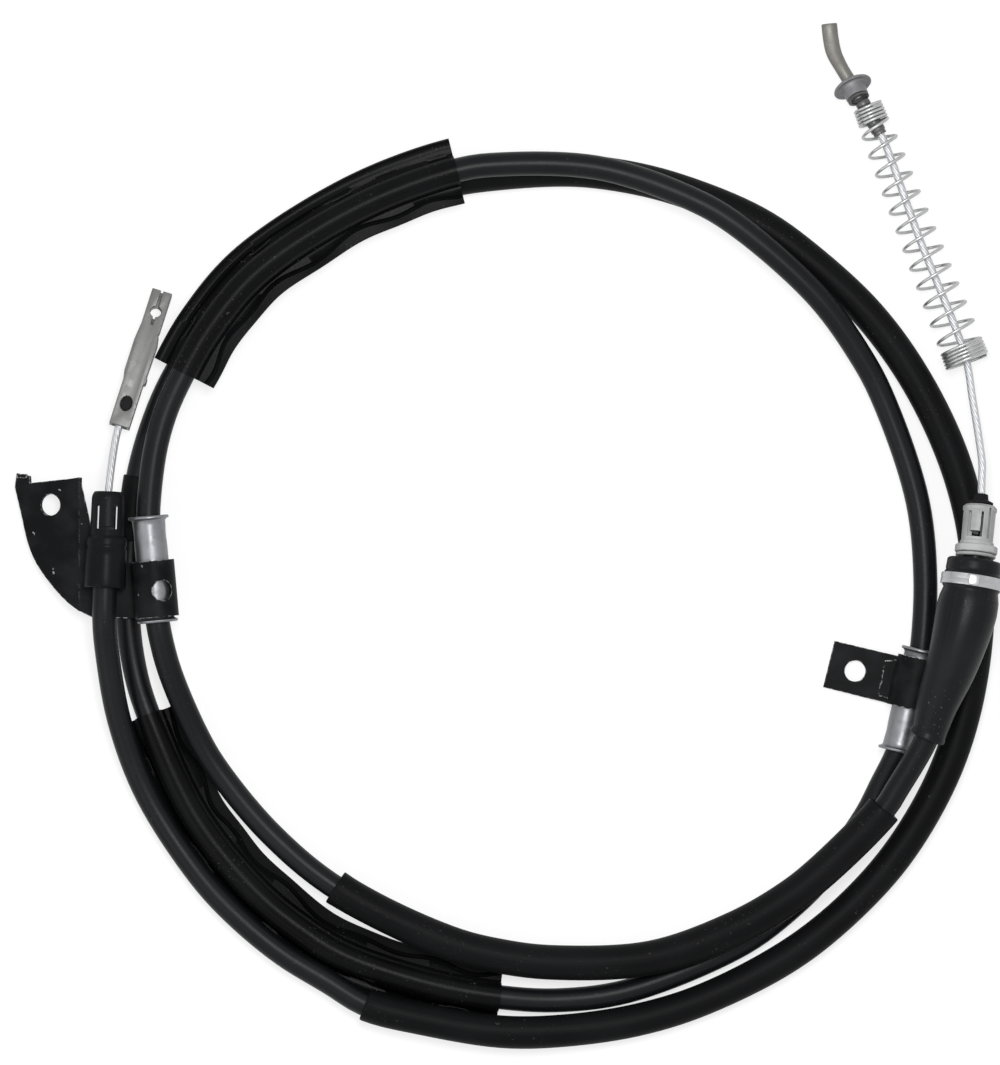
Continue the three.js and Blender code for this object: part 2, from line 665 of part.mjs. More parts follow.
function frontTerminal() {
  const g = plate(TERMINAL_OUTLINE, -TERMINAL_HALF, 2 * TERMINAL_HALF);
  g.rotateX(Math.PI / 2);
  g.rotateZ(Math.PI);
  const inner = TERMINAL_HALF - TERMINAL_WALL;
  const hollow = box(-3.2, 3.2, -inner, inner, -2, 70);
  const slit = box(-0.5, 0.5, 0, 6, 46, 70);
  const hole = rod(2.4, -6, 6, 16);
  hole.rotateX(Math.PI / 2);
  hole.translate(0, 0, 52);
  const oval = rod(2.6, 0, 6, 16);
  oval.rotateX(-Math.PI / 2);
  oval.scale(1, 1, 1.3);
  oval.translate(0, 0, 10);
  const solid = cut(toSolid(g), toSolid(hollow), toSolid(slit), toSolid(hole), toSolid(oval));
  const out = toGeometry(solid);
  out.applyMatrix4(terminalMatrix());
  return out;
}

function terminalPlug() {
  const g = rod(2.3, 2.0, 2.9, 16);
  g.rotateX(-Math.PI / 2);
  g.scale(1, 1, 1.3);
  g.translate(0, 0, 10);
  g.applyMatrix4(terminalMatrix());
  return g;
}

const frontSlide = vec([0.037, 0.999, 0]).normalize();

function frontStrand() {
  const mouth = vec(FRONT_ORIGIN).addScaledVector(vec(FRONT_AXIS).normalize(), FRONT_LENGTH);
  const straight = [-20, -10, 0].map((d) => mouth.clone().addScaledVector(frontSlide, d));
  const axis = vec(TERMINAL_HEAD).sub(vec(TERMINAL_FOOT)).normalize();
  const ends = [-4, 5.5].map((d) => vec(TERMINAL_FOOT).addScaledVector(axis, d));
  const points = [...straight, ...ends];
  return alongPoints(new THREE.Shape(polygon(STRAND_R, 8)), points, 12);
}

// The scene graph

const RUBBER = [0x18191b, 0.75, 0.0];
const PLASTIC = [0x1b1c1e, 0.45, 0.0];
const VINYL = [0x111214, 0.35, 0.0];
const BLACK_PAINT = [0x17181a, 0.5, 0.2];
const ZINC = [0xc9cac8, 0.35, 0.85];
const CAST = [0xa9a7a2, 0.5, 0.6];
const NYLON = [0xbdb9b2, 0.55, 0.0];
const STRAND = [0xc4c6c9, 0.4, 0.6];
const DARK_STEEL = [0x4a4b4e, 0.45, 0.7];

const group = new THREE.Group();

function addPiece(name, geometry, [color, roughness, metalness]) {
  const mesh = new THREE.Mesh(geometry, new THREE.MeshStandardMaterial({ color, roughness, metalness }));
  mesh.name = name;
  group.add(mesh);
}

addPiece("conduit", conduit, RUBBER);
addPiece("inner_cable", innerCable, STRAND);
addPiece("lower_sleeve", sleeve(LOWER_SLEEVE_R, mark("lowerSleeveRear"), mark("lowerSleeveFront"), 12), RUBBER);
addPiece("outer_sleeve", sleeve(OUTER_SLEEVE_R, mark("outerSleeveRear"), mark("outerSleeveFront"), 12), RUBBER);
addPiece("short_sleeve", sleeve(SHORT_SLEEVE_R, mark("shortSleeveRear"), mark("shortSleeveFront"), 12), RUBBER);
addPiece("boot", boot(), RUBBER);
addPiece("clamp_band", clampBand(), ZINC);
addPiece("left_ferrule", ferrule("leftFerruleRear", "leftFerruleFront"), ZINC);
addPiece("right_ferrule", ferrule("rightFerruleRear", "rightFerruleFront"), ZINC);
addPiece("left_bracket", leftBracket(), BLACK_PAINT);
addPiece("right_bracket", rightBracket(), BLACK_PAINT);
addPiece("upper_guard", guard(mark("upperGuardRear"), mark("upperGuardFront"), GUARD_WIDTH, GUARD_WIDTH, 0.8), VINYL);
addPiece("lower_guard", guard(mark("lowerGuardRear"), mark("lowerGuardFront"), GUARD_WIDTH, GUARD_WIDTH, 0.8), VINYL);
addPiece("rear_fitting", rearFitting(), NYLON);
addPiece("rear_ring", rearRing(), NYLON);
addPiece("rubber_tip", rubberTip(), RUBBER);
addPiece("rear_strand", rearStrand(), STRAND);
addPiece("rear_end_fitting", rearEndFitting(), CAST);
addPiece("flange_collar", flangeCollar(), CAST);
addPiece("flange_ring", flangeRing(), DARK_STEEL);
addPiece("crimp_barrel", crimpBarrel(), DARK_STEEL);
addPiece("return_spring", returnSpring(), ZINC);
addPiece("front_fitting", frontFitting(), PLASTIC);
addPiece("front_strand", frontStrand(), STRAND);
addPiece("front_terminal", frontTerminal(), ZINC);
addPiece("terminal_plug", terminalPlug(), RUBBER);

export default group;
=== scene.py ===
"""Looks of a parking brake cable coiled two and a half times: pieces, floor, lamps, camera."""

import logging
import math
from dataclasses import dataclass, field
from enum import Enum
from typing import Callable, Optional, Sequence

import bpy
import numpy as np
from mathutils import Matrix, Vector


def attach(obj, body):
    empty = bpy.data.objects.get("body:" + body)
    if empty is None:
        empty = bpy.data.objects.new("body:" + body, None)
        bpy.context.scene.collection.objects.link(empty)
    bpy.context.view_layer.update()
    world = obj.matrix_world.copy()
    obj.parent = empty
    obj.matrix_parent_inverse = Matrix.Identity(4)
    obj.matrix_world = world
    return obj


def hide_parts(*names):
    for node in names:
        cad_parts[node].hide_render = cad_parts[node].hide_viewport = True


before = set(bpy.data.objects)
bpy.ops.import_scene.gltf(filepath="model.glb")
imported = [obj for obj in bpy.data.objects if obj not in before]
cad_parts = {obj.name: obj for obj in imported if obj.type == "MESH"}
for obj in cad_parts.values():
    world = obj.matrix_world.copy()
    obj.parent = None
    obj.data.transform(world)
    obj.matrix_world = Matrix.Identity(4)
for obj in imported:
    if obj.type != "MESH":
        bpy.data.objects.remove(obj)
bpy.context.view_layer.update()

LOG = logging.getLogger("cable")
MM = 0.001
FULL_TURN = 6.2832
WELD = 2e-6
SMOOTH_BELOW = math.radians(50)
PAINT_GLOSS = 0.05
RAYS = ("Is Camera Ray", "Is Glossy Ray", "Is Transmission Ray")
Point = Sequence[float]

# Route of the conduit in metres, rear end first
ROUTE: list[tuple[float, float, float]] = [
    (0.2004, -0.0047, 0.0266), (0.1996, -0.0108, 0.0274), (0.1959, -0.0331, 0.0289),
    (0.1901, -0.0546, 0.0288), (0.1836, -0.0722, 0.0276), (0.1791, -0.0869, 0.0256),
    (0.1664, -0.1092, 0.0222), (0.1612, -0.1174, 0.0211), (0.1358, -0.1431, 0.0192),
    (0.1208, -0.1552, 0.0183), (0.098, -0.1686, 0.0166), (0.0619, -0.1815, 0.0126),
    (0.0204, -0.1837, 0.0096), (-0.0021, -0.1812, 0.009), (-0.0249, -0.1754, 0.0094),
    (-0.0737, -0.1514, 0.0095), (-0.101, -0.1289, 0.0073), (-0.1231, -0.1026, 0.0078),
    (-0.132, -0.088, 0.0098), (-0.1445, -0.0578, 0.0172), (-0.1492, -0.0378, 0.0207),
    (-0.1496, -0.0335, 0.0207), (-0.1512, -0.0155, 0.0208), (-0.1529, 0.0035, 0.0208),
    (-0.1533, 0.0077, 0.0208), (-0.1505, 0.0348, 0.0212), (-0.1456, 0.0528, 0.0214),
    (-0.1382, 0.0688, 0.0216), (-0.1274, 0.0875, 0.0216), (-0.1071, 0.1115, 0.0216),
    (-0.064, 0.1394, 0.0216), (-0.0214, 0.1554, 0.0216), (-0.003, 0.1579, 0.0208),
    (0.04, 0.1563, 0.02), (0.0808, 0.1423, 0.0198), (0.0998, 0.1309, 0.0194),
    (0.1328, 0.1017, 0.0161), (0.1517, 0.0761, 0.0116), (0.1612, 0.0582, 0.0092),
    (0.176, 0.0146, 0.0078), (0.1794, -0.0198, 0.0092), (0.1778, -0.0494, 0.0101),
    (0.177, -0.0534, 0.0101), (0.1726, -0.0714, 0.0101), (0.1684, -0.0894, 0.0101),
    (0.1675, -0.0933, 0.0101), (0.1601, -0.1086, 0.0069), (0.1544, -0.12, 0.0059),
    (0.1359, -0.1462, 0.0054), (0.123, -0.1594, 0.0054), (0.1008, -0.1761, 0.0054),
    (0.0532, -0.1958, 0.0054), (0.0228, -0.2001, 0.0056), (-0.003, -0.1987, 0.0074),
    (-0.0331, -0.1933, 0.0074), (-0.0701, -0.181, 0.0074), (-0.0892, -0.1692, 0.0074),
    (-0.1086, -0.1529, 0.0074), (-0.1342, -0.1208, 0.0074), (-0.1539, -0.0774, 0.0074),
    (-0.1595, -0.0593, 0.0055), (-0.1626, -0.0357, 0.0054), (-0.1612, -0.003, 0.0064),
    (-0.1583, 0.0245, 0.0065), (-0.1501, 0.0525, 0.0055), (-0.1406, 0.0722, 0.0054),
    (-0.1277, 0.0907, 0.0054), (-0.1105, 0.1079, 0.0054), (-0.089, 0.1251, 0.0054),
    (-0.0675, 0.1376, 0.0055), (-0.0288, 0.1501, 0.0074), (-0.0164, 0.1529, 0.0074),
    (0.0189, 0.1559, 0.0074), (0.04, 0.155, 0.0074), (0.0697, 0.1489, 0.0074),
    (0.1058, 0.1344, 0.0074), (0.129, 0.1185, 0.0074), (0.1557, 0.0936, 0.0074),
    (0.1776, 0.0624, 0.0074), (0.1938, 0.0258, 0.0074), (0.2017, -0.0133, 0.0074),
    (0.2002, -0.0572, 0.0074), (0.1903, -0.0959, 0.0074), (0.174, -0.1279, 0.0074),
    (0.1549, -0.1523, 0.0074), (0.1247, -0.1784, 0.0074), (0.0856, -0.1991, 0.0074),
    (0.0556, -0.2085, 0.0074), (0.0228, -0.2131, 0.0088), (-0.003, -0.2133, 0.0101),
    (-0.0369, -0.2078, 0.0101), (-0.0606, -0.2017, 0.0094), (-0.0764, -0.1923, 0.0076),
    (-0.0967, -0.1799, 0.0074), (-0.1172, -0.1627, 0.0074), (-0.1325, -0.1457, 0.0074),
    (-0.1545, -0.1117, 0.0078), (-0.1661, -0.0798, 0.0124), (-0.1712, -0.049, 0.0188),
    (-0.172, -0.037, 0.0221), (-0.1716, -0.0181, 0.0228),
]

# Rows of the route where pieces start and end
MARKS: dict[str, int] = {
    "conduitRear": 0, "bootStart": 1, "bootEnd": 5, "lowerSleeveRear": 7, "lowerSleeveFront": 15,
    "leftFerruleRear": 20, "leftFerruleFront": 24, "upperGuardRear": 27, "upperGuardFront": 31,
    "rightFerruleRear": 41, "rightFerruleFront": 45, "lowerGuardRear": 53, "lowerGuardFront": 59,
    "shortSleeveRear": 62, "shortSleeveFront": 63, "outerSleeveRear": 70, "outerSleeveFront": 91,
    "conduitFront": 100,
}


class Body(Enum):
    """The parts of the cable that move as one."""

    COIL = "coil"
    REAR = "rear_end"
    FRONT = "front_end"


# Lines that pieces are laid on


def smooth_line(points: np.ndarray, steps: int) -> np.ndarray:
    """Draws a centripetal Catmull-Rom line.

    Args:
        points: the points that the line goes through.
        steps: the number of steps from one point to the next.

    Returns:
        The points of the fine line.
    """
    padded = np.vstack([2 * points[0] - points[1], points, 2 * points[-1] - points[-2]])
    out = []
    for a, b, c, d in zip(padded[:-3], padded[1:-2], padded[2:-1], padded[3:]):
        gaps = [math.sqrt(float(np.linalg.norm(q))) for q in (b - a, c - b, d - c)]
        t0, t1, t2, t3 = np.cumsum([0.0, *gaps])
        u = np.linspace(t1, t2, steps, endpoint=False)[:, None]
        ab = ((t1 - u) * a + (u - t0) * b) / (t1 - t0)
        bc = ((t2 - u) * b + (u - t1) * c) / (t2 - t1)
        cd = ((t3 - u) * c + (u - t2) * d) / (t3 - t2)
        abc = ((t2 - u) * ab + (u - t0) * bc) / (t2 - t0)
        bcd = ((t3 - u) * bc + (u - t1) * cd) / (t3 - t1)
        out.append(((t2 - u) * abc + (u - t1) * bcd) / (t2 - t1))
    return np.vstack([*out, points[-1:]])


def unit(rows: np.ndarray) -> np.ndarray:
    """Scales each row to length 1."""
    return rows / np.maximum(np.linalg.norm(rows, axis=-1, keepdims=True), 1e-12)


class Track:
    """A line in space with a sideways and an upward direction at every distance along it."""

    def __init__(self, points: np.ndarray, upright: Point = (0.0, 0.0, 1.0)) -> None:
        """Measures the line.

        Args:
            points: the points of the line, in metres.
            upright: the direction that the upward side leans to.
        """
        self.points = np.asarray(points, float)
        steps = np.linalg.norm(np.diff(self.points, axis=0), axis=1)
        self.lengths = np.concatenate([[0.0], np.cumsum(steps)])
        self.tangents = unit(np.gradient(self.points, self.lengths, axis=0))
        self.sides = unit(np.cross(self.tangents, np.asarray(upright, float)))
        self.ups = np.cross(self.sides, self.tangents)

    @property
    def length(self) -> float:
        """Length of the line."""
        return float(self.lengths[-1])

    def at(self, rows: np.ndarray, along: np.ndarray) -> np.ndarray:
        """Reads one of the line's tables at distances along it."""
        flat = np.clip(along, 0.0, self.length)
        return np.stack([np.interp(flat, self.lengths, rows[:, k]) for k in range(3)], axis=-1)

    def place(self, along: np.ndarray, across: np.ndarray, up: np.ndarray) -> np.ndarray:
        """Turns distances along, across and above the line into points.

        Args:
            along: distance from the line's start; past an end it goes on straight.
            across: distance to the right of travel.
            up: distance above the line.

        Returns:
            The points, in metres.
        """
        beyond = along - np.clip(along, 0.0, self.length)
        middle = self.at(self.points, along) + self.at(self.tangents, along) * beyond[..., None]
        side = unit(self.at(self.sides, along)) * across[..., None]
        return middle + side + unit(self.at(self.ups, along)) * up[..., None]

    def matrix(self, along: float) -> Matrix:
        """Frame at a distance: X to the right of travel, Y up, Z backwards along the line."""
        s = np.array([along])
        x = Vector(unit(self.at(self.sides, s))[0])
        y = Vector(unit(self.at(self.ups, s))[0])
        z = x.cross(y)
        o = Vector(self.place(s, s * 0, s * 0)[0])
        rows = [(x[k], y[k], z[k], o[k]) for k in range(3)]
        return Matrix((*rows, (0.0, 0.0, 0.0, 1.0)))


def axis_track(origin: Point, direction: Point, length: float) -> Track:
    """A straight line that turned pieces are made on."""
    start = np.asarray(origin, float)
    end = start + unit(np.asarray(direction, float)) * length
    return Track(np.array([start, (start + end) / 2, end]))


class Route(Track):
    """The conduit's own line, with the distances of its named rows."""

    FINE = 24

    def __init__(self) -> None:
        """Draws the route and measures it."""
        super().__init__(smooth_line(np.array(ROUTE), self.FINE))

    def mark(self, name: str) -> float:
        """Distance of a named row."""
        return float(self.lengths[MARKS[name] * self.FINE])


ROUTE_LINE = Route()


# Meshes


def select_only(obj: bpy.types.Object) -> None:
    """Leaves one object selected and active."""
    bpy.ops.object.select_all(action="DESELECT")
    obj.select_set(True)
    bpy.context.view_layer.objects.active = obj


def in_edit_mode(obj: bpy.types.Object, work: Callable[[], None]) -> None:
    """Runs mesh operators on all of an object.

    Args:
        obj: the object.
        work: what to do while all of it is selected.
    """
    select_only(obj)
    bpy.ops.object.mode_set(mode="EDIT")
    bpy.ops.mesh.select_all(action="SELECT")
    work()
    bpy.ops.object.mode_set(mode="OBJECT")


def set_points(obj: bpy.types.Object, points: np.ndarray) -> None:
    """Moves an object's vertices to the points given."""
    obj.data.vertices.foreach_set("co", np.asarray(points, np.float32).ravel())
    obj.data.update()


def get_points(obj: bpy.types.Object) -> np.ndarray:
    """Reads an object's vertices."""
    out = np.empty(len(obj.data.vertices) * 3, np.float32)
    obj.data.vertices.foreach_get("co", out)
    return out.reshape(-1, 3).astype(float)


def apply_modifier(obj: bpy.types.Object, kind: str, **settings: object) -> None:
    """Adds one modifier and applies it.

    Args:
        obj: the object.
        kind: the modifier's type.
        **settings: its settings.
    """
    select_only(obj)
    modifier = obj.modifiers.new(kind.title(), kind)
    for key, value in settings.items():
        setattr(modifier, key, value)
    bpy.ops.object.modifier_apply(modifier=modifier.name)


def soften(obj: bpy.types.Object, width: float, segments: int = 2, angle: float = 35.0) -> None:
    """Rounds the sharp edges of an object and shades the rest smooth."""
    if width > 0:
        apply_modifier(
            obj, "BEVEL", width=width, segments=segments, limit_method="ANGLE",
            angle_limit=math.radians(angle), harden_normals=False, use_clamp_overlap=True,
        )
    select_only(obj)
    bpy.ops.object.shade_smooth_by_angle(angle=SMOOTH_BELOW)


def skin(name: str, grid: np.ndarray, uv: np.ndarray) -> bpy.types.Object:
    """Shapes a flat grid into a skin, welds where it meets itself and closes its ends.

    Args:
        name: the object's name.
        grid: rows by columns of points, in metres.
        uv: rows by columns of pairs: distance along, share of the way round.

    Returns:
        The closed object.
    """
    rows, cols = grid.shape[:2]
    bpy.ops.object.select_all(action="DESELECT")
    bpy.ops.mesh.primitive_grid_add(
        x_subdivisions=rows - 1, y_subdivisions=cols - 1, size=1.0, calc_uvs=True
    )
    obj = bpy.context.object
    obj.name = name
    obj.data.name = name
    flat = get_points(obj)
    i = np.rint((flat[:, 0] + 0.5) * (rows - 1)).astype(int)
    j = np.rint((flat[:, 1] + 0.5) * (cols - 1)).astype(int)
    set_points(obj, grid[i, j])
    loops = np.empty(len(obj.data.loops), np.int32)
    obj.data.loops.foreach_get("vertex_index", loops)
    coordinates = uv[i, j][loops].astype(np.float32)
    obj.data.uv_layers[0].data.foreach_set("uv", coordinates.ravel())

    def close() -> None:
        """Welds the seam, closes the ends and turns the faces outwards."""
        bpy.ops.mesh.remove_doubles(threshold=WELD)
        bpy.ops.mesh.select_all(action="DESELECT")
        bpy.ops.mesh.select_non_manifold(
            extend=False, use_wire=False, use_boundary=True, use_multi_face=False,
            use_non_contiguous=False, use_verts=False,
        )
        bpy.ops.mesh.fill_holes(sides=0)
        bpy.ops.mesh.select_all(action="SELECT")
        bpy.ops.mesh.normals_make_consistent(inside=False)

    in_edit_mode(obj, close)
    return obj


def dense(profile: Sequence[tuple[float, float]], step: float, closed: bool) -> np.ndarray:
    """Adds points to the long sides of a profile.

    Args:
        profile: (along, radius) pairs in metres.
        step: the longest side that is left.
        closed: whether the last point joins the first.

    Returns:
        The pairs, with the first one repeated at the end of a closed profile.
    """
    pairs = [np.array(p, float) for p in profile]
    if closed:
        pairs.append(pairs[0])
    out = [pairs[0]]
    for a, b in zip(pairs[:-1], pairs[1:]):
        n = max(1, math.ceil(abs(b[0] - a[0]) / step))
        out.extend(a + (b - a) * k / n for k in range(1, n + 1))
    return np.array(out)


def turned(
    name: str,
    track: Track,
    profile: Sequence[tuple[float, float]],
    sides: int,
    step: float = 0.004,
    closed: bool = True,
    relief: Optional[Callable[[np.ndarray, np.ndarray], np.ndarray]] = None,
    squeeze: Optional[Callable[[np.ndarray], tuple[np.ndarray, np.ndarray]]] = None,
) -> bpy.types.Object:
    """Turns a profile about a line, straight or curved.

    Args:
        name: the object's name.
        track: the line that it is turned about.
        profile: (along, radius) pairs in metres.
        sides: faces in one turn.
        step: the longest face along the line.
        closed: whether the profile closes on itself, as a sleeve's does.
        relief: extra radius from distance along and angle.
        squeeze: factors across and up from distance along.

    Returns:
        The object.
    """
    pairs = dense(profile, step, closed)
    angles = np.linspace(0.0, 2 * math.pi, sides + 1)
    along, angle = np.meshgrid(pairs[:, 0], angles, indexing="ij")
    radius = np.repeat(pairs[:, 1][:, None], sides + 1, axis=1)
    if relief is not None:
        radius = radius + relief(along, angle)
    across, up = radius * np.cos(angle), radius * np.sin(angle)
    if squeeze is not None:
        wide, high = squeeze(along)
        across, up = across * wide, up * high
    grid = track.place(along, across, up)
    grid[:, -1] = grid[:, 0]
    if closed:
        grid[-1] = grid[0]
    return skin(name, grid, np.stack([along, angle / (2 * math.pi)], axis=-1))


def swept(
    name: str,
    track: Track,
    along: np.ndarray,
    section: Callable[[float], np.ndarray],
) -> bpy.types.Object:
    """Draws a section along a line.

    Args:
        name: the object's name.
        track: the line.
        along: the distances that get a section.
        section: closed outline at a distance, as (across, up) pairs in metres.

    Returns:
        The object, with flat ends.
    """
    outlines = np.array([section(float(s)) for s in along])
    outlines = np.concatenate([outlines, outlines[:, :1]], axis=1)
    count = outlines.shape[1]
    distance = np.repeat(along[:, None], count, axis=1)
    grid = track.place(distance, outlines[..., 0], outlines[..., 1])
    share = np.repeat(np.linspace(0.0, 1.0, count)[None, :], len(along), axis=0)
    return skin(name, grid, np.stack([distance, share], axis=-1))


def plate(
    name: str, outline: Sequence[tuple[float, float]], low: float, thickness: float
) -> bpy.types.Object:
    """Cuts a flat plate.

    Args:
        name: the object's name.
        outline: (x, y) corners in metres.
        low: height of its lower face.
        thickness: its thickness.

    Returns:
        The plate, with its size in its mesh.
    """
    bpy.ops.object.select_all(action="DESELECT")
    bpy.ops.mesh.primitive_circle_add(vertices=len(outline), fill_type="NGON", radius=1.0)
    obj = bpy.context.object
    obj.name = name
    obj.data.name = name
    set_points(obj, np.array([(x, y, low) for x, y in outline]))

    def thicken() -> None:
        """Pulls the face up into a plate."""
        bpy.ops.mesh.extrude_region_move(TRANSFORM_OT_translate={"value": (0, 0, thickness)})
        bpy.ops.mesh.select_all(action="SELECT")
        bpy.ops.mesh.normals_make_consistent(inside=False)

    in_edit_mode(obj, thicken)
    return obj


def block(name: str, low: Point, high: Point) -> bpy.types.Object:
    """A box between two corners."""
    corners = [(low[0], low[1]), (high[0], low[1]), (high[0], high[1]), (low[0], high[1])]
    return plate(name, corners, low[2], high[2] - low[2])


def drum(name: str, radius: float, low: float, high: float, sides: int = 40) -> bpy.types.Object:
    """A round bar along Z."""
    angles = [2 * math.pi * k / sides for k in range(sides)]
    ring = [(radius * math.cos(a), radius * math.sin(a)) for a in angles]
    return plate(name, ring, low, high - low)


def cutter(low: Point, high: Point) -> bpy.types.Object:
    """A box to cut with, between two corners in millimetres."""
    return block("cut", [v * MM for v in low], [v * MM for v in high])


def moved(obj: bpy.types.Object, matrix: Matrix) -> bpy.types.Object:
    """Moves an object's mesh and leaves the object at the origin."""
    obj.data.transform(matrix)
    obj.data.update()
    return obj


def combined(
    obj: bpy.types.Object, others: Sequence[bpy.types.Object], operation: str
) -> bpy.types.Object:
    """Joins solids to an object, or cuts them out of it, and removes them.

    Args:
        obj: the solid that stays.
        others: the solids that are used up.
        operation: UNION or DIFFERENCE.

    Returns:
        The object.
    """
    for other in others:
        apply_modifier(obj, "BOOLEAN", object=other, operation=operation, solver="EXACT")
        mesh = other.data
        bpy.data.objects.remove(other)
        bpy.data.meshes.remove(mesh)
    return obj


def dress(
    obj: bpy.types.Object, material: bpy.types.Material, body: Body, slot: str, *nodes: str
) -> bpy.types.Object:
    """Gives a finished piece its material and body, and hides the nodes it stands for.

    Args:
        obj: the piece.
        material: its material.
        body: what it moves with.
        slot: the record's material slot; not used.
        *nodes: the CAD nodes that it stands for.

    Returns:
        The piece.
    """
    obj.data.materials.clear()
    obj.data.materials.append(material)
    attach(obj, body.value)
    if nodes:
        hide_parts(*nodes)
    LOG.info("%s: %d faces", obj.name, len(obj.data.polygons))
    return obj


# Materials


def operator(operation: str, swapped: bool = False) -> Callable[["Signal", object], "Signal"]:
    """Makes the method behind one arithmetic sign.

    Args:
        operation: the Math node's operation.
        swapped: whether the signal comes second.

    Returns:
        The method.
    """

    def method(self: "Signal", other: object) -> "Signal":
        """Adds the Math node."""
        first, second = (other, self) if swapped else (self, other)
        return self._math(operation, first, second)

    return method


class Signal:
    """A shader socket whose arithmetic adds Math nodes."""

    def __init__(self, paint: "Paint", socket: bpy.types.NodeSocket) -> None:
        """Wraps a socket of one material."""
        self.paint = paint
        self.socket = socket

    def _math(self, operation: str, first: object, second: object, clamp: bool = False) -> "Signal":
        """Adds a Math node for two values."""
        settings = {"operation": operation, "use_clamp": clamp}
        return self.paint.node("ShaderNodeMath", settings, {0: first, 1: second})

    __add__ = operator("ADD")
    __radd__ = operator("ADD", True)
    __sub__ = operator("SUBTRACT")
    __rsub__ = operator("SUBTRACT", True)
    __mul__ = operator("MULTIPLY")
    __rmul__ = operator("MULTIPLY", True)

    def clamped(self) -> "Signal":
        """The value held between 0 and 1."""
        return self._math("MULTIPLY", self, 1.0, clamp=True)

    def sine(self) -> "Signal":
        """The value's sine."""
        return self.paint.node("ShaderNodeMath", {"operation": "SINE"}, {0: self})

    def step(self, low: float, high: float) -> "Signal":
        """0 below one value, 1 above the other, smooth between."""
        settings = {"interpolation_type": "SMOOTHSTEP"}
        values = {"Value": self, "From Min": low, "From Max": high}
        return self.paint.node("ShaderNodeMapRange", settings, values)


Color = tuple[float, float, float]


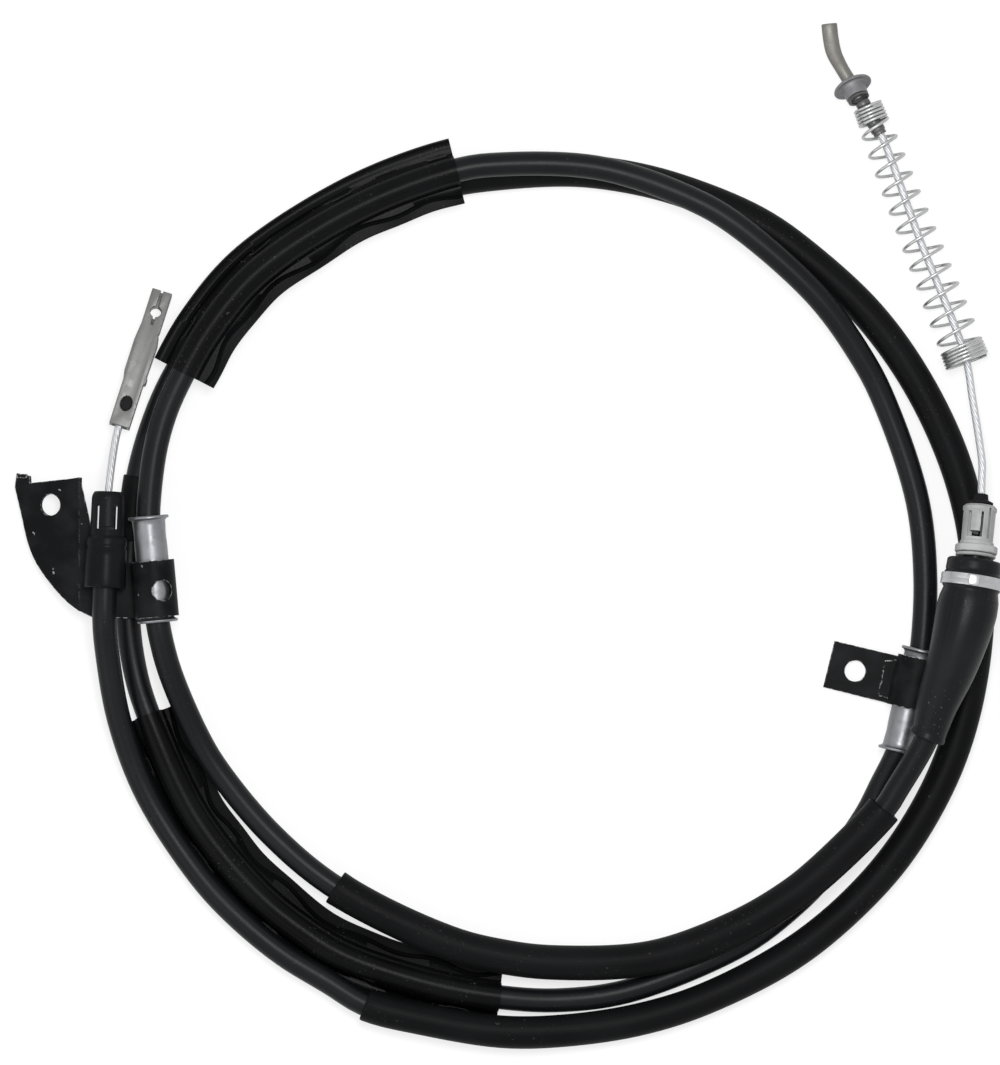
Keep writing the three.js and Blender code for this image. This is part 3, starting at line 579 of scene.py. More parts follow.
class Paint:
    """One material under construction."""

    def __init__(self, name: str) -> None:
        """Starts a material with an empty tree, a Principled shader and an output."""
        self.material = bpy.data.materials.new(name)
        self.material.use_nodes = True
        self.tree = self.material.node_tree
        self.tree.nodes.clear()
        self.shader = self.tree.nodes.new("ShaderNodeBsdfPrincipled")
        self.output = self.tree.nodes.new("ShaderNodeOutputMaterial")
        self.tree.links.new(self.shader.outputs[0], self.output.inputs["Surface"])

    def node(self, kind: str, settings: dict, values: dict, output: object = 0) -> Signal:
        """Adds a node.

        Args:
            kind: the node's type.
            settings: its settings.
            values: numbers, colors or signals of its inputs.
            output: name or number of the output that is used.

        Returns:
            The output as a signal.
        """
        node = self.tree.nodes.new(kind)
        for key, value in settings.items():
            setattr(node, key, value)
        for key, value in values.items():
            self.join(node.inputs[key], value)
        return Signal(self, node.outputs[output])

    def join(self, target: bpy.types.NodeSocket, value: object) -> None:
        """Links a signal to an input, or sets its value."""
        if isinstance(value, Signal):
            self.tree.links.new(value.socket, target)
        elif isinstance(value, tuple) and target.type == "RGBA":
            target.default_value = (*value, 1.0)[:4]
        else:
            target.default_value = value

    def place(self) -> Signal:
        """The point in the object's own space, in metres."""
        return self.node("ShaderNodeTexCoord", {}, {}, "Object")

    def around(self) -> tuple[Signal, Signal]:
        """Distance along the piece in metres and share of the way round it."""
        uv = self.node("ShaderNodeTexCoord", {}, {}, "UV")
        split = self.tree.nodes.new("ShaderNodeSeparateXYZ")
        self.join(split.inputs[0], uv)
        return Signal(self, split.outputs[0]), Signal(self, split.outputs[1])

    def vector(self, x: object, y: object, z: object) -> Signal:
        """Three values as one vector."""
        return self.node("ShaderNodeCombineXYZ", {}, {0: x, 1: y, 2: z})

    def noise(self, size: float, detail: float = 3.0, at: Optional[Signal] = None) -> Signal:
        """Cloudy noise whose blotches are about one size across, in metres."""
        values = {"Scale": 1.0 / size, "Detail": detail, "Vector": at or self.place()}
        return self.node("ShaderNodeTexNoise", {}, values, "Fac")

    def scratches(self, size: float, stretch: Color, thin: float) -> Signal:
        """Sparse thin scratches.

        Args:
            size: how far apart they are, in metres.
            stretch: scale along X, Y and Z before the pattern is made.
            thin: how much of the pattern is scratch, from 0 to 1.

        Returns:
            1 on a scratch and 0 off it.
        """
        mapped = self.node("ShaderNodeMapping", {}, {"Vector": self.place(), "Scale": stretch})
        warp = self.noise(size * 3, 2.0)
        values = {"Scale": 1.0 / size, "Vector": self.shifted(mapped, warp, size), "Detail": 1.0}
        lines = self.node("ShaderNodeTexNoise", {"noise_type": "RIDGED_MULTIFRACTAL"}, values, "Fac")
        return lines.step(1.0 - thin, 1.06 - thin) * self.noise(size * 6, 1.0).step(0.48, 0.62)

    def shifted(self, vector: Signal, amount: Signal, size: float) -> Signal:
        """A vector moved a little by a value."""
        push = self.node("ShaderNodeVectorMath", {"operation": "SCALE"},
            {0: (1.0, 0.7, 0.4), "Scale": amount * size})
        return self.node("ShaderNodeVectorMath", {"operation": "ADD"}, {0: vector, 1: push})

    def mix(self, share: object, first: object, second: object) -> Signal:
        """Blends two colors."""
        values = {"Factor": share, 6: first, 7: second}
        return self.node("ShaderNodeMix", {"data_type": "RGBA", "clamp_factor": True}, values, 2)

    def worn_edges(self, radius: float) -> Signal:
        """1 on outward edges and 0 on flats."""
        bevel = self.node("ShaderNodeBevel", {"samples": 4}, {"Radius": radius})
        normal = self.node("ShaderNodeNewGeometry", {}, {}, "Normal")
        dot = self.node("ShaderNodeVectorMath", {"operation": "DOT_PRODUCT"}, {0: bevel, 1: normal},
            "Value")
        return (1.0 - dot).step(0.05, 0.17)

    def bump(self, height: Signal, depth: float, strength: float = 1.0) -> Signal:
        """Turns a height between 0 and 1 into a normal."""
        return self.node("ShaderNodeBump", {},
            {"Height": height, "Distance": depth, "Strength": strength})

    def finish(self, **sockets: object) -> bpy.types.Material:
        """Sets the shader's sockets, named with _ for a space.

        Args:
            **sockets: values or signals.

        Returns:
            The material.
        """
        for key, value in sockets.items():
            self.join(self.shader.inputs[key.replace("_", " ")], value)
        return self.material


@dataclass(frozen=True)
class BlackSkin:
    """A black plastic or rubber: its tone, gloss, grain and the dust that lies on it."""

    name: str
    tone: Color
    bloom: Color
    roughness: float
    grain: float
    grain_depth: float
    streaks: float = 0.0
    dust: float = 0.1
    shine: float = 0.05

    def material(self) -> bpy.types.Material:
        """Builds the material."""
        p = Paint(self.name)
        cloud = p.noise(0.045, 3.0)
        fine = p.noise(self.grain, 2.0)
        specks = p.noise(0.0012, 2.0).step(0.66, 0.74) * p.noise(0.02, 2.0).step(0.45, 0.65)
        along, turn = p.around()
        circle = [((turn + quarter) * FULL_TURN).sine() * 9.0 for quarter in (0.0, 0.25)]
        lines = p.noise(1.0, 2.0, p.vector(along * 4.0, *circle))
        base = p.mix(cloud.step(0.35, 0.7), self.tone, self.bloom)
        base = p.mix(lines.step(0.52, 0.68) * self.streaks, base, tuple(2.6 * c for c in self.bloom))
        base = p.mix(specks * self.dust, base, (0.34, 0.33, 0.31))
        rough = (cloud - 0.5) * 0.16 + (fine - 0.5) * 0.08 + self.roughness + lines * self.streaks * 0.2
        height = fine * 0.7 + lines * 0.3
        return p.finish(
            Base_Color=base, Roughness=rough.clamped(), Normal=p.bump(height, self.grain_depth),
            Specular_IOR_Level=self.shine,
        )


@dataclass(frozen=True)
class Plated:
    """A plated steel: its tone, spangle, stains and gloss."""

    name: str
    tone: Color
    shade: Color
    roughness: float
    spangle: float
    stain: float
    metal: float = 0.9

    def material(self) -> bpy.types.Material:
        """Builds the material."""
        p = Paint(self.name)
        values = {"Scale": 1.0 / self.spangle, "Vector": p.place()}
        cells = p.node("ShaderNodeTexVoronoi", {"feature": "F1"}, values, "Color")
        grey = p.node("ShaderNodeRGBToBW", {}, {0: cells})
        cloud = p.noise(0.006, 4.0)
        fine = p.noise(0.0007, 3.0)
        drawn = p.scratches(0.0016, (0.35, 0.35, 2.0), 0.22)
        tint = p.mix(grey * 0.45 + cloud * 0.55, self.shade, self.tone)
        tint = p.mix(cloud.step(0.58, 0.75) * self.stain, tint, (0.10, 0.095, 0.085))
        tint = p.mix(drawn * 0.35, tint, (0.9, 0.9, 0.9))
        rough = self.roughness + (grey - 0.5) * 0.14 + (cloud - 0.5) * 0.18 - drawn * 0.1
        height = fine * 0.6 + grey * 0.4
        return p.finish(
            Base_Color=tint, Roughness=rough.clamped(), Metallic=self.metal,
            Normal=p.bump(height, 0.00004),
        )


@dataclass(frozen=True)
class WornPaint:
    """Black paint on pressed steel, chipped at the edges and scratched on the flats."""

    name: str
    tone: Color
    steel: Color

    def material(self) -> bpy.types.Material:
        """Builds the material."""
        p = Paint(self.name)
        cloud = p.noise(0.012, 4.0)
        chips = p.noise(0.0022, 4.0)
        edge = p.worn_edges(0.0007) * chips.step(0.44, 0.56)
        spots = p.noise(0.004, 5.0).step(0.70, 0.74) * 0.8
        lines = p.scratches(0.0030, (1.6, 0.5, 1.0), 0.20) * 0.5
        bare = (edge + spots + lines).clamped()
        dull = p.mix(cloud.step(0.4, 0.68), self.tone, tuple(2.4 * c for c in self.tone))
        base = p.mix(bare, dull, self.steel)
        rough = 0.34 + cloud * 0.22 + bare * 0.08
        return p.finish(
            Base_Color=base, Roughness=rough.clamped(), Metallic=bare * 0.75,
            Normal=p.bump(p.noise(0.0009, 3.0) * 0.6 + cloud * 0.4 - bare * 0.5, 0.00009),
            Specular_IOR_Level=PAINT_GLOSS,
        )


@dataclass(frozen=True)
class Moulded:
    """Moulded nylon with faint flow marks and handling marks."""

    name: str
    tone: Color
    shade: Color
    roughness: float

    def material(self) -> bpy.types.Material:
        """Builds the material."""
        p = Paint(self.name)
        flow = p.noise(0.009, 4.0)
        fine = p.noise(0.0006, 2.0)
        marks = p.scratches(0.0024, (0.7, 0.7, 1.4), 0.2)
        base = p.mix(flow.step(0.3, 0.72), self.shade, self.tone)
        base = p.mix(marks * 0.3, base, tuple(min(1.0, 1.5 * c + 0.03) for c in self.tone))
        rough = self.roughness + (flow - 0.5) * 0.2 + fine * 0.05
        return p.finish(
            Base_Color=base, Roughness=rough.clamped(), Normal=p.bump(fine * 0.6 + flow * 0.4, 0.00005)
        )


@dataclass(frozen=True)
class Strand:
    """Coated steel strand: pale wires, with painted shade darkening the grooves between them."""

    name: str
    tone: Color
    groove_shade: Color
    # darker colour painted into the grooves between the wires as shade
    wires: int
    lay: float

    def material(self) -> bpy.types.Material:
        """Builds the material."""
        p = Paint(self.name)
        along, turn = p.around()
        phase = (turn * float(self.wires) - along * (self.wires / self.lay)) * (2 * math.pi)
        ridge = phase.sine() * 0.5 + 0.5
        cloud = p.noise(0.008, 3.0)
        # painted shade: the grooves between the wires take the darker colour; the blotches below reuse
        # it at random
        base = p.mix(ridge.step(0.0, 0.55), self.groove_shade, self.tone)
        base = p.mix(cloud.step(0.6, 0.78) * 0.35, base, self.groove_shade)
        rough = 0.42 + (1.0 - ridge) * 0.2 + (cloud - 0.5) * 0.1
        return p.finish(
            Base_Color=base, Roughness=rough.clamped(), Metallic=0.55, Normal=p.bump(ridge, 0.00012)
        )


class Finishes:
    """Every material of the cable, made once."""

    def __init__(self) -> None:
        """Builds the materials."""
        self.jacket = BlackSkin(
            "jacket", (0.0045, 0.0050, 0.0060),
                (0.0080, 0.0086, 0.0098), 0.36, 0.0009, 0.00003, 0.18, 0.10, shine=0.14
        ).material()
        self.sleeve = BlackSkin(
            "sleeve_rubber", (0.0045, 0.0047, 0.0052),
                (0.0080, 0.0083, 0.0090), 0.46, 0.0007, 0.00006, 0.10, 0.14
        ).material()
        self.boot = BlackSkin(
            "boot_rubber", (0.0055, 0.0060, 0.0070),
                (0.0100, 0.0110, 0.0130), 0.38, 0.0008, 0.00007, 0.12, 0.18, shine=0.13
        ).material()
        self.vinyl = BlackSkin(
            "guard_vinyl", (0.0030, 0.0031, 0.0034),
                (0.0060, 0.0063, 0.0068), 0.30, 0.0010, 0.00005, 0.16, 0.20
        ).material()
        self.clip = BlackSkin(
            "black_nylon", (0.0060, 0.0064, 0.0072),
                (0.0110, 0.0116, 0.0130), 0.34, 0.0008, 0.00004, 0.0, 0.10
        ).material()
        self.plug = BlackSkin(
            "plug_rubber", (0.012, 0.012, 0.013), (0.02, 0.02, 0.022), 0.6, 0.0006, 0.00004, 0.0, 0.1
        ).material()
        self.zinc = Plated("zinc_plate", (0.52, 0.53, 0.54), (0.34, 0.35, 0.36), 0.34, 0.0035,
            0.25).material()
        self.galvanised = Plated("galvanised_steel", (0.27, 0.275, 0.29), (0.17, 0.175, 0.185), 0.42,
            0.0045, 0.45).material()
        self.terminal = Plated("terminal_zinc", (0.17, 0.17, 0.168), (0.11, 0.11, 0.108), 0.48, 0.0030,
            0.5, 0.75).material()
        self.spring = Plated("spring_wire", (0.56, 0.57, 0.57), (0.36, 0.36, 0.36), 0.34, 0.0016,
            0.35).material()
        self.cast = Plated("end_fitting_steel", (0.235, 0.226, 0.208), (0.145, 0.139, 0.128), 0.5,
            0.0012, 0.35, 0.6).material()
        self.flange = Plated("flange_steel", (0.27, 0.27, 0.285), (0.18, 0.18, 0.19), 0.54, 0.0010,
            0.35, 0.6).material()
        self.dark = Plated("crimped_steel", (0.17, 0.17, 0.17), (0.07, 0.07, 0.07), 0.46, 0.0011, 0.3,
            0.7).material()
        self.paint = WornPaint("bracket_paint", (0.0055, 0.0058, 0.0064), (0.38, 0.38, 0.38)).material()
        self.nylon = Moulded("grey_nylon", (0.46, 0.462, 0.466), (0.32, 0.322, 0.326), 0.44).material()
        # the strand's second colour is painted shade for the grooves between the wires
        self.strand = Strand("coated_strand", (0.62, 0.63, 0.65), (0.50, 0.51, 0.53), 8,
            0.026).material()


# Sub-assemblies


def sleeve_profile(
    start: float, end: float, outer: float, inner: float, lip: float
) -> list[tuple[float, float]]:
    """Closed profile of a sleeve with rounded ends.

    Args:
        start: distance of one end along the route.
        end: distance of the other end.
        outer: outer radius.
        inner: inner radius.
        lip: how far the ends are rounded.

    Returns:
        (along, radius) pairs.
    """
    return [
        (start + lip, outer), (end - lip, outer), (end - 0.3 * lip, outer - 0.35 * lip),
        (end, outer - lip),
        (end, inner), (start, inner), (start, outer - lip), (start + 0.3 * lip, outer - 0.35 * lip),
    ]


@dataclass
class Conduit:
    """The jacketed conduit, from the rear fitting round the coil to the front fitting."""

    finishes: Finishes
    radius: float = 5.2 * MM
    sides: int = 28

    def relief(self, along: np.ndarray, angle: np.ndarray) -> np.ndarray:
        """Small bulges and flats of an extruded jacket that has been coiled by hand."""
        wave = np.sin(along * 61.0 + 1.3) * np.sin(along * 23.0 + angle)
        return wave * 0.05 * MM

    def build(self) -> bpy.types.Object:
        start, end = 0.0, ROUTE_LINE.length
        profile = [(start, self.radius), (end, self.radius)]
        obj = turned("conduit_jacket", ROUTE_LINE, profile, self.sides, 0.0045, False, self.relief)
        soften(obj, 0)
        return dress(obj, self.finishes.jacket, Body.COIL, "conduit_jacket", "conduit")

    def declare(self) -> None:
        """Reads the route's first point and its length; nothing is done with them."""
        tuple(ROUTE_LINE.points[0])
        ROUTE_LINE.length


@dataclass
class Sleeves:
    """Three rubber protection sleeves pushed over the conduit."""

    finishes: Finishes
    bore: float = 5.32 * MM
    sizes: dict[str, float] = field(
        default_factory=lambda: {"lowerSleeve": 7.5 * MM, "outerSleeve": 7.0 * MM,
            "shortSleeve": 6.3 * MM}
    )
    nodes: dict[str, str] = field(
        default_factory=lambda: {
            "lowerSleeve": "lower_sleeve", "outerSleeve": "outer_sleeve", "shortSleeve": "short_sleeve",
        }
    )

    def relief(self, start: float, end: float) -> Callable[[np.ndarray, np.ndarray], np.ndarray]:
        """Relief of one sleeve: soft lumps, and cut ends that gape a little."""

        def shape(along: np.ndarray, angle: np.ndarray) -> np.ndarray:
            """Extra radius."""
            lump = np.sin(along * 83.0) * np.cos(angle * 2.0 + along * 17.0) * 0.10 * MM
            near = np.exp(-(along - start) / (3.5 * MM)) + np.exp(-(end - along) / (3.5 * MM))
            return lump + near * (0.25 + 0.25 * np.cos(angle - 0.8)) * MM * 0.6

        return shape

    def build(self) -> list[bpy.types.Object]:
        """Models the sleeves."""
        made = []
        for name, radius in self.sizes.items():
            start, end = ROUTE_LINE.mark(f"{name}Rear"), ROUTE_LINE.mark(f"{name}Front")
            profile = sleeve_profile(start, end, radius, self.bore, 0.5 * MM)
            relief = self.relief(start, end)
            obj = turned(f"{self.nodes[name]}_skin", ROUTE_LINE, profile, 30, 0.0045, True, relief)
            soften(obj, 0)
            made.append(dress(obj, self.finishes.sleeve, Body.COIL, "black_rubber", self.nodes[name]))
        return made


@dataclass
class Boot:
    """Tapered rubber boot behind the rear fitting, with its crimped clamp band."""

    finishes: Finishes
    bore: float = 5.4 * MM
    band_at: float = 9.3 * MM
    band_half: float = 2.4 * MM
    band_radius: float = 13.4 * MM
    profile: tuple[tuple[float, float], ...] = (
        (0.0, 11.2), (0.6, 11.8), (4.6, 12.0), (5.3, 11.7), (5.9, 12.1), (6.6, 12.4),
        (12.2, 12.4), (13.0, 11.8),
        (13.8, 12.0), (17, 12.7), (22, 13.0), (28, 12.8), (34, 12.3), (41, 11.6), (48, 10.8),
        (55, 10.0), (62, 9.2),
        (69, 8.3), (74, 7.6), (76.5, 7.5), (77.4, 7.9), (78.6, 7.9), (79.0, 7.4),
    )

    def relief(self, along: np.ndarray, angle: np.ndarray) -> np.ndarray:
        """Soft dents, two mould lines and a pinch under the band."""
        s = along - ROUTE_LINE.mark("bootStart")
        body = np.clip((s - 14 * MM) / (8 * MM), 0, 1) * np.clip((76 * MM - s) / (12 * MM), 0, 1)
        dent = np.sin(s * 95.0 + 0.6) * np.cos(2 * angle + s * 30.0) * 0.35
        dent = dent + np.cos(3 * angle + 1.1) * 0.18
        seam = np.exp(-((np.mod(angle + 0.2, math.pi) - math.pi / 2) ** 2) / 0.002) * 0.22
        return (dent * body + seam * np.clip(body + 0.3, 0, 1)) * MM

    def build(self) -> list[bpy.types.Object]:
        """Models the boot and the band."""
        start = ROUTE_LINE.mark("bootStart") + 0.4 * MM
        rise = [(start + s * MM, r * MM) for s, r in self.profile]
        loop = rise + [(rise[-1][0], self.bore), (rise[0][0], self.bore)]
        boot = turned("boot_skin", ROUTE_LINE, loop, 56, 0.002, True, self.relief)
        soften(boot, 0)
        dress(boot, self.finishes.boot, Body.COIL, "black_rubber", "boot")
        return [boot, self.band(start + self.band_at)]

    def band(self, at: float) -> bpy.types.Object:
        """Models the band: facets where the tool pressed it, and its raised ear."""
        inner, outer = 12.45 * MM, self.band_radius
        h = self.band_half
        profile = [
            (at - h, inner), (at - h, outer), (at - h * 0.2, outer),
            (at - h * 0.08, outer - 0.25 * MM), (at + h * 0.08, outer), (at + h, outer),
            (at + h, inner),
        ]
        band = turned("band_ring", ROUTE_LINE, profile, 22)
        frame_at = ROUTE_LINE.matrix(at)
        ear = block("ear", (-2.2 * MM, outer - 0.7 * MM, -h * 0.9),
            (2.2 * MM, outer + 0.35 * MM, h * 0.9))
        combined(band, [moved(ear, frame_at)], "UNION")
        soften(band, 0.18 * MM)
        return dress(band, self.finishes.zinc, Body.COIL, "bright_zinc", "clamp_band")


@dataclass
class Ferrule:
    """A steel ferrule crimped on the conduit, with the bracket that wraps round it."""

    finishes: Finishes
    side: str
    radius: float = 7.1 * MM
    flange: float = 8.7 * MM
    flange_width: float = 1.3 * MM
    bore: float = 5.35 * MM
    wall: float = 1.9 * MM
    slip: float = 0.35 * MM

    def __post_init__(self) -> None:
        """Lays the ferrule's straight line between its marks."""
        a = ROUTE_LINE.place(np.array([ROUTE_LINE.mark(f"{self.side}FerruleRear")]), np.zeros(1),
            np.zeros(1))[0]
        b = ROUTE_LINE.place(np.array([ROUTE_LINE.mark(f"{self.side}FerruleFront")]), np.zeros(1),
            np.zeros(1))[0]
        self.length = float(np.linalg.norm(b - a))
        self.track = axis_track(a, b - a, self.length)

    def tube(self) -> bpy.types.Object:
        """Models the ferrule with its rolled flanges."""
        n, w, r, f = self.length, self.flange_width, self.radius, self.flange
        profile = [
            (0, self.bore), (0, f - 0.4 * MM), (0.35 * MM, f), (w - 0.3 * MM, f), (w, f - 0.4 * MM),
            (w + 0.1 * MM, r + 0.7 * MM), (w + 0.9 * MM, r), (n / 2 - 2 * MM, r - 0.05 * MM),
            (n - w - 0.9 * MM, r), (n - w - 0.1 * MM, r + 0.7 * MM),
            (n - w, f - 0.4 * MM), (n - w + 0.3 * MM, f),
            (n - 0.35 * MM, f), (n, f - 0.4 * MM), (n, self.bore),
        ]

        def dents(along: np.ndarray, angle: np.ndarray) -> np.ndarray:
            """Shallow crimp dents near one end."""
            rear, front = along - 8 * MM, along - n + 8 * MM
            crimp = np.exp(-((rear / (3 * MM)) ** 2)) + np.exp(-((front / (3 * MM)) ** 2))
            return -crimp * 0.25 * MM * (0.5 + 0.5 * np.cos(6 * angle))

        obj = turned(f"{self.side}_ferrule_tube", self.track, profile, 48, 0.002, True, dents)
        soften(obj, 0)
        return dress(obj, self.finishes.galvanised, Body.COIL, "bright_zinc", f"{self.side}_ferrule")

    def wrap(self, start: float, end: float) -> bpy.types.Object:
        """Models the band that the bracket makes round the ferrule."""
        inner = self.radius + self.slip
        outer = inner + self.wall
        profile = [(start, inner), (start, outer), (end, outer), (end, inner)]
        return turned(f"{self.side}_bracket_plate", self.track, profile, 56)

    def clear(self) -> bpy.types.Object:
        """The ferrule's own room, which is cut out of the bracket."""
        r = self.radius + self.slip
        return turned("room", self.track, [(-MM, r), (self.length + MM, r)], 56, 0.01, False)


@dataclass
class LeftBracket(Ferrule):
    """Curved plate whose outer half dips to the surface, with a curled corner and one bolt hole."""

    low: float = 11.55 * MM
    thickness: float = 2.0 * MM
    bend: float = -183.0 * MM
    dip: float = 20.0
    hole: tuple[float, float] = (-195.5, 12.5)
    hole_radius: float = 4.6 * MM

    def build(self) -> list[bpy.types.Object]:
        """Models the ferrule and the bracket."""
        flat = [(-183, 24.2), (-182.8, 24.2), (-178.2, 3.9), (-177.5, -12.3), (-151.5, -12.3),
            (-153.5, -36.2),
                (-177.6, -35.7), (-181.2, -34), (-183, -33)]
        tab = [(-183, 24.3), (-186.7, 23.7), (-204.5, 21.9), (-204.7, 24.9), (-210.3, 26.1),
            (-211.1, 20.2),
               (-208.1, 7.7), (-205.5, -3.4), (-201.7, -12.5), (-195, -21.9), (-188.3, -29),
               (-183, -33)]
        curve = smooth_line(np.array([(x, y, 0.0) for x, y in tab[5:]]), 5)[:, :2]
        tab = [*tab[:5], *(tuple(p) for p in curve)]
        spread = 1 / math.cos(math.radians(self.dip))
        wing = plate("wing", [((x * MM - self.bend) * spread, y * MM) for x, y in tab],
            -self.thickness / 2, self.thickness)
        x, y = self.hole
        bolt = moved(drum("bolt", self.hole_radius, -0.01, 0.01),
            Matrix.Translation(((x * MM - self.bend) * spread, y * MM, 0)))
        combined(wing, [bolt], "DIFFERENCE")
        turn = Matrix.Translation((self.bend, 0,
            self.low + self.thickness / 2)) @ Matrix.Rotation(math.radians(-self.dip), 4, "Y")
        moved(wing, turn)
        bracket = self.wrap(2.3 * MM, 26.5 * MM)
        web = plate("web", [(x * MM, y * MM) for x, y in flat], self.low, self.thickness)
        window = drum("window", 4.4 * MM, 0, 16 * MM)
        seat = self.track.matrix(13.5 * MM) @ Matrix.Rotation(-0.42, 4,
            "Z") @ Matrix.Rotation(-math.pi / 2, 4, "X")
        moved(window, seat)
        combined(bracket, [window], "DIFFERENCE")
        knee = drum("knee", 0.49 * self.thickness, -32.5 * MM, 24.2 * MM)
        moved(knee, Matrix.Translation((self.bend, 0,
            self.low + self.thickness / 2)) @ Matrix.Rotation(-math.pi / 2, 4, "X"))
        curl = block("curl", (-210.2 * MM, 24.2 * MM, 2.6 * MM), (-206.0 * MM, 25.8 * MM, 7.0 * MM))
        combined(bracket, [web, wing, knee, curl], "UNION")
        combined(bracket, [self.clear()], "DIFFERENCE")
        soften(bracket, 0.3 * MM)
        dress(bracket, self.finishes.paint, Body.COIL, "black_paint", "left_bracket")
        return [self.tube(), bracket]


@dataclass
class RightBracket(Ferrule):
    """Flat tab on the surface with one bolt hole."""

    thickness: float = 2.0 * MM
    hole: tuple[float, float] = (149.6, -58.9)
    hole_radius: float = 4.5 * MM

    def build(self) -> list[bpy.types.Object]:
        """Models the ferrule and the bracket."""
        tab = [(140.8, -45.9), (135.9, -65.8), (171.6, -74.8), (176.5, -54.2), (170.7, -52.9),
            (164.7, -51.6)]
        sheet = plate("tab", [(x * MM, y * MM) for x, y in tab], 0.0, self.thickness)
        x, y = self.hole
        bolt = moved(drum("bolt", self.hole_radius, -0.01, 0.01),
            Matrix.Translation((x * MM, y * MM, 0)))
        bracket = self.wrap(4 * MM, 26 * MM)
        lap = plate("lap", millimetres([(162.4, -54.5), (159.6, -69.4), (170, -72), (172.5, -54)]),
            1.9 * MM, 1.9 * MM)
        combined(bracket, [sheet, lap], "UNION")
        combined(bracket, [self.clear(), bolt], "DIFFERENCE")
        soften(bracket, 0.3 * MM)
        dress(bracket, self.finishes.paint, Body.COIL, "black_paint", "right_bracket")
        return [self.tube(), bracket]


@dataclass
class Guard:
    """Vinyl guard: a hump over the conduit and a folded fin on each side, in millimetres."""

    finishes: Finishes
    name: str
    mark: str
    phase: float
    hump: float = 6.15
    base: float = 7.0
    reach: float = 14.3
    fin: float = 1.4

    def section(self, along: float, start: float, end: float) -> np.ndarray:
        """Outline at a distance along the route.

        Args:
            along: the distance.
            start: where the guard starts.
            end: where it ends.

        Returns:
            (across, up) pairs in metres.
        """
        s = along - start
        wave = 0.9 * math.sin(s * 175 + self.phase + 0.6 * math.sin(s * 40))
        wave += 0.5 * math.sin(s * 97 + 1.7 * self.phase)
        edge = self.reach + 0.35 * wave - 0.35
        crest = 9.7 + 1.25 * wave
        left = self.reach + 0.12 * math.sin(s * 60)
        low, top = -self.base, -self.base + self.fin
        ridge = 0.5 + 0.4 * math.sin(s * 150 + 2)
        fold = 0.9 + 0.5 * math.sin(s * 31 + self.phase)
        rise = 1.5 + 0.6 * math.sin(s * 120 + self.phase)
        pts = [
            (-left, low), (-left, top), (-left + 0.7, top + 1.0), (-left + 1.7, top + 0.3),
            (-10.4, top + 0.1), (-9.2, top + fold), (-8.2, top + 0.15), (-7.2, top + ridge),
        ]
        for k in range(13):
            a = math.pi + 0.5 - k / 12 * (math.pi + 1.0)
            pts.append((self.hump * math.cos(a), max(self.hump * math.sin(a), top)))
        pts += [
            (6.9, top + 0.4), (crest - 1.2, top + 0.4), (crest - 0.4, top + rise),
            (crest + 0.1, top + rise + 0.25), (crest + 0.5, top + rise * 0.7), (crest + 0.8, top + 0.2),
            (edge - 0.4, top + 0.5), (edge, top), (edge, low), (8, low), (-8, low),
        ]
        return np.array(pts) * MM

    def build(self) -> bpy.types.Object:
        """Models the guard."""
        start, end = ROUTE_LINE.mark(f"{self.mark}Rear"), ROUTE_LINE.mark(f"{self.mark}Front")
        along = np.linspace(start, end, max(24, int((end - start) / 0.0016)))
        obj = swept(f"{self.name}_skin", ROUTE_LINE, along, lambda s: self.section(s, start, end))
        soften(obj, 0)
        return dress(obj, self.finishes.vinyl, Body.COIL, "black_vinyl", self.name)


REAR_ORIGIN = (199.6 * MM, -10.8 * MM, 27.4 * MM)
REAR_AXIS = (0.104, 0.985, -0.137)
REAR_SLIDE = (0.03, 0.99, -0.139)
FRONT_ORIGIN = (-171.8 * MM, -23.4 * MM, 23.0 * MM)
FRONT_AXIS = (0.037, 0.998, -0.05)
SPRING_TOP = (154.5 * MM, 183.3 * MM, 10.1 * MM)
SPRING_BOTTOM = (197.2 * MM, 73.5 * MM, 14.1 * MM)
BARREL_TOP = (151.9 * MM, 185.8 * MM, 9.75 * MM)
BARREL_END = (160.1 * MM, 171.2 * MM, 10.6 * MM)
NECK = (148.6 * MM, 192.6 * MM, 9.3 * MM)
NECK_AXIS = (0.42, -0.905, 0.05)


def millimetres(pairs: Sequence[tuple[float, float]]) -> list[tuple[float, float]]:
    """Pairs in millimetres as pairs in metres."""
    return [(a * MM, b * MM) for a, b in pairs]


def twisted(name: str, points: np.ndarray, radius: float, wires: int, lay: float) -> bpy.types.Object:
    """Lays a strand of twisted wires along a line.

    Args:
        name: the object's name.
        points: the points of the line, in metres.
        radius: radius over the wires.
        wires: how many outer wires show.
        lay: length of one turn.

    Returns:
        The strand.
    """
    track = Track(smooth_line(points, 16))

    def relief(along: np.ndarray, angle: np.ndarray) -> np.ndarray:
        """Rounds each wire and sinks the grooves between them."""
        phase = wires * (angle - 2 * math.pi * along / lay)
        return -radius * 0.035 * (1 - np.abs(np.cos(phase / 2)))

    profile = [(0.0, radius), (track.length, radius)]
    obj = turned(name, track, profile, wires * 6, 0.0012, False, relief)
    soften(obj, 0)
    return obj


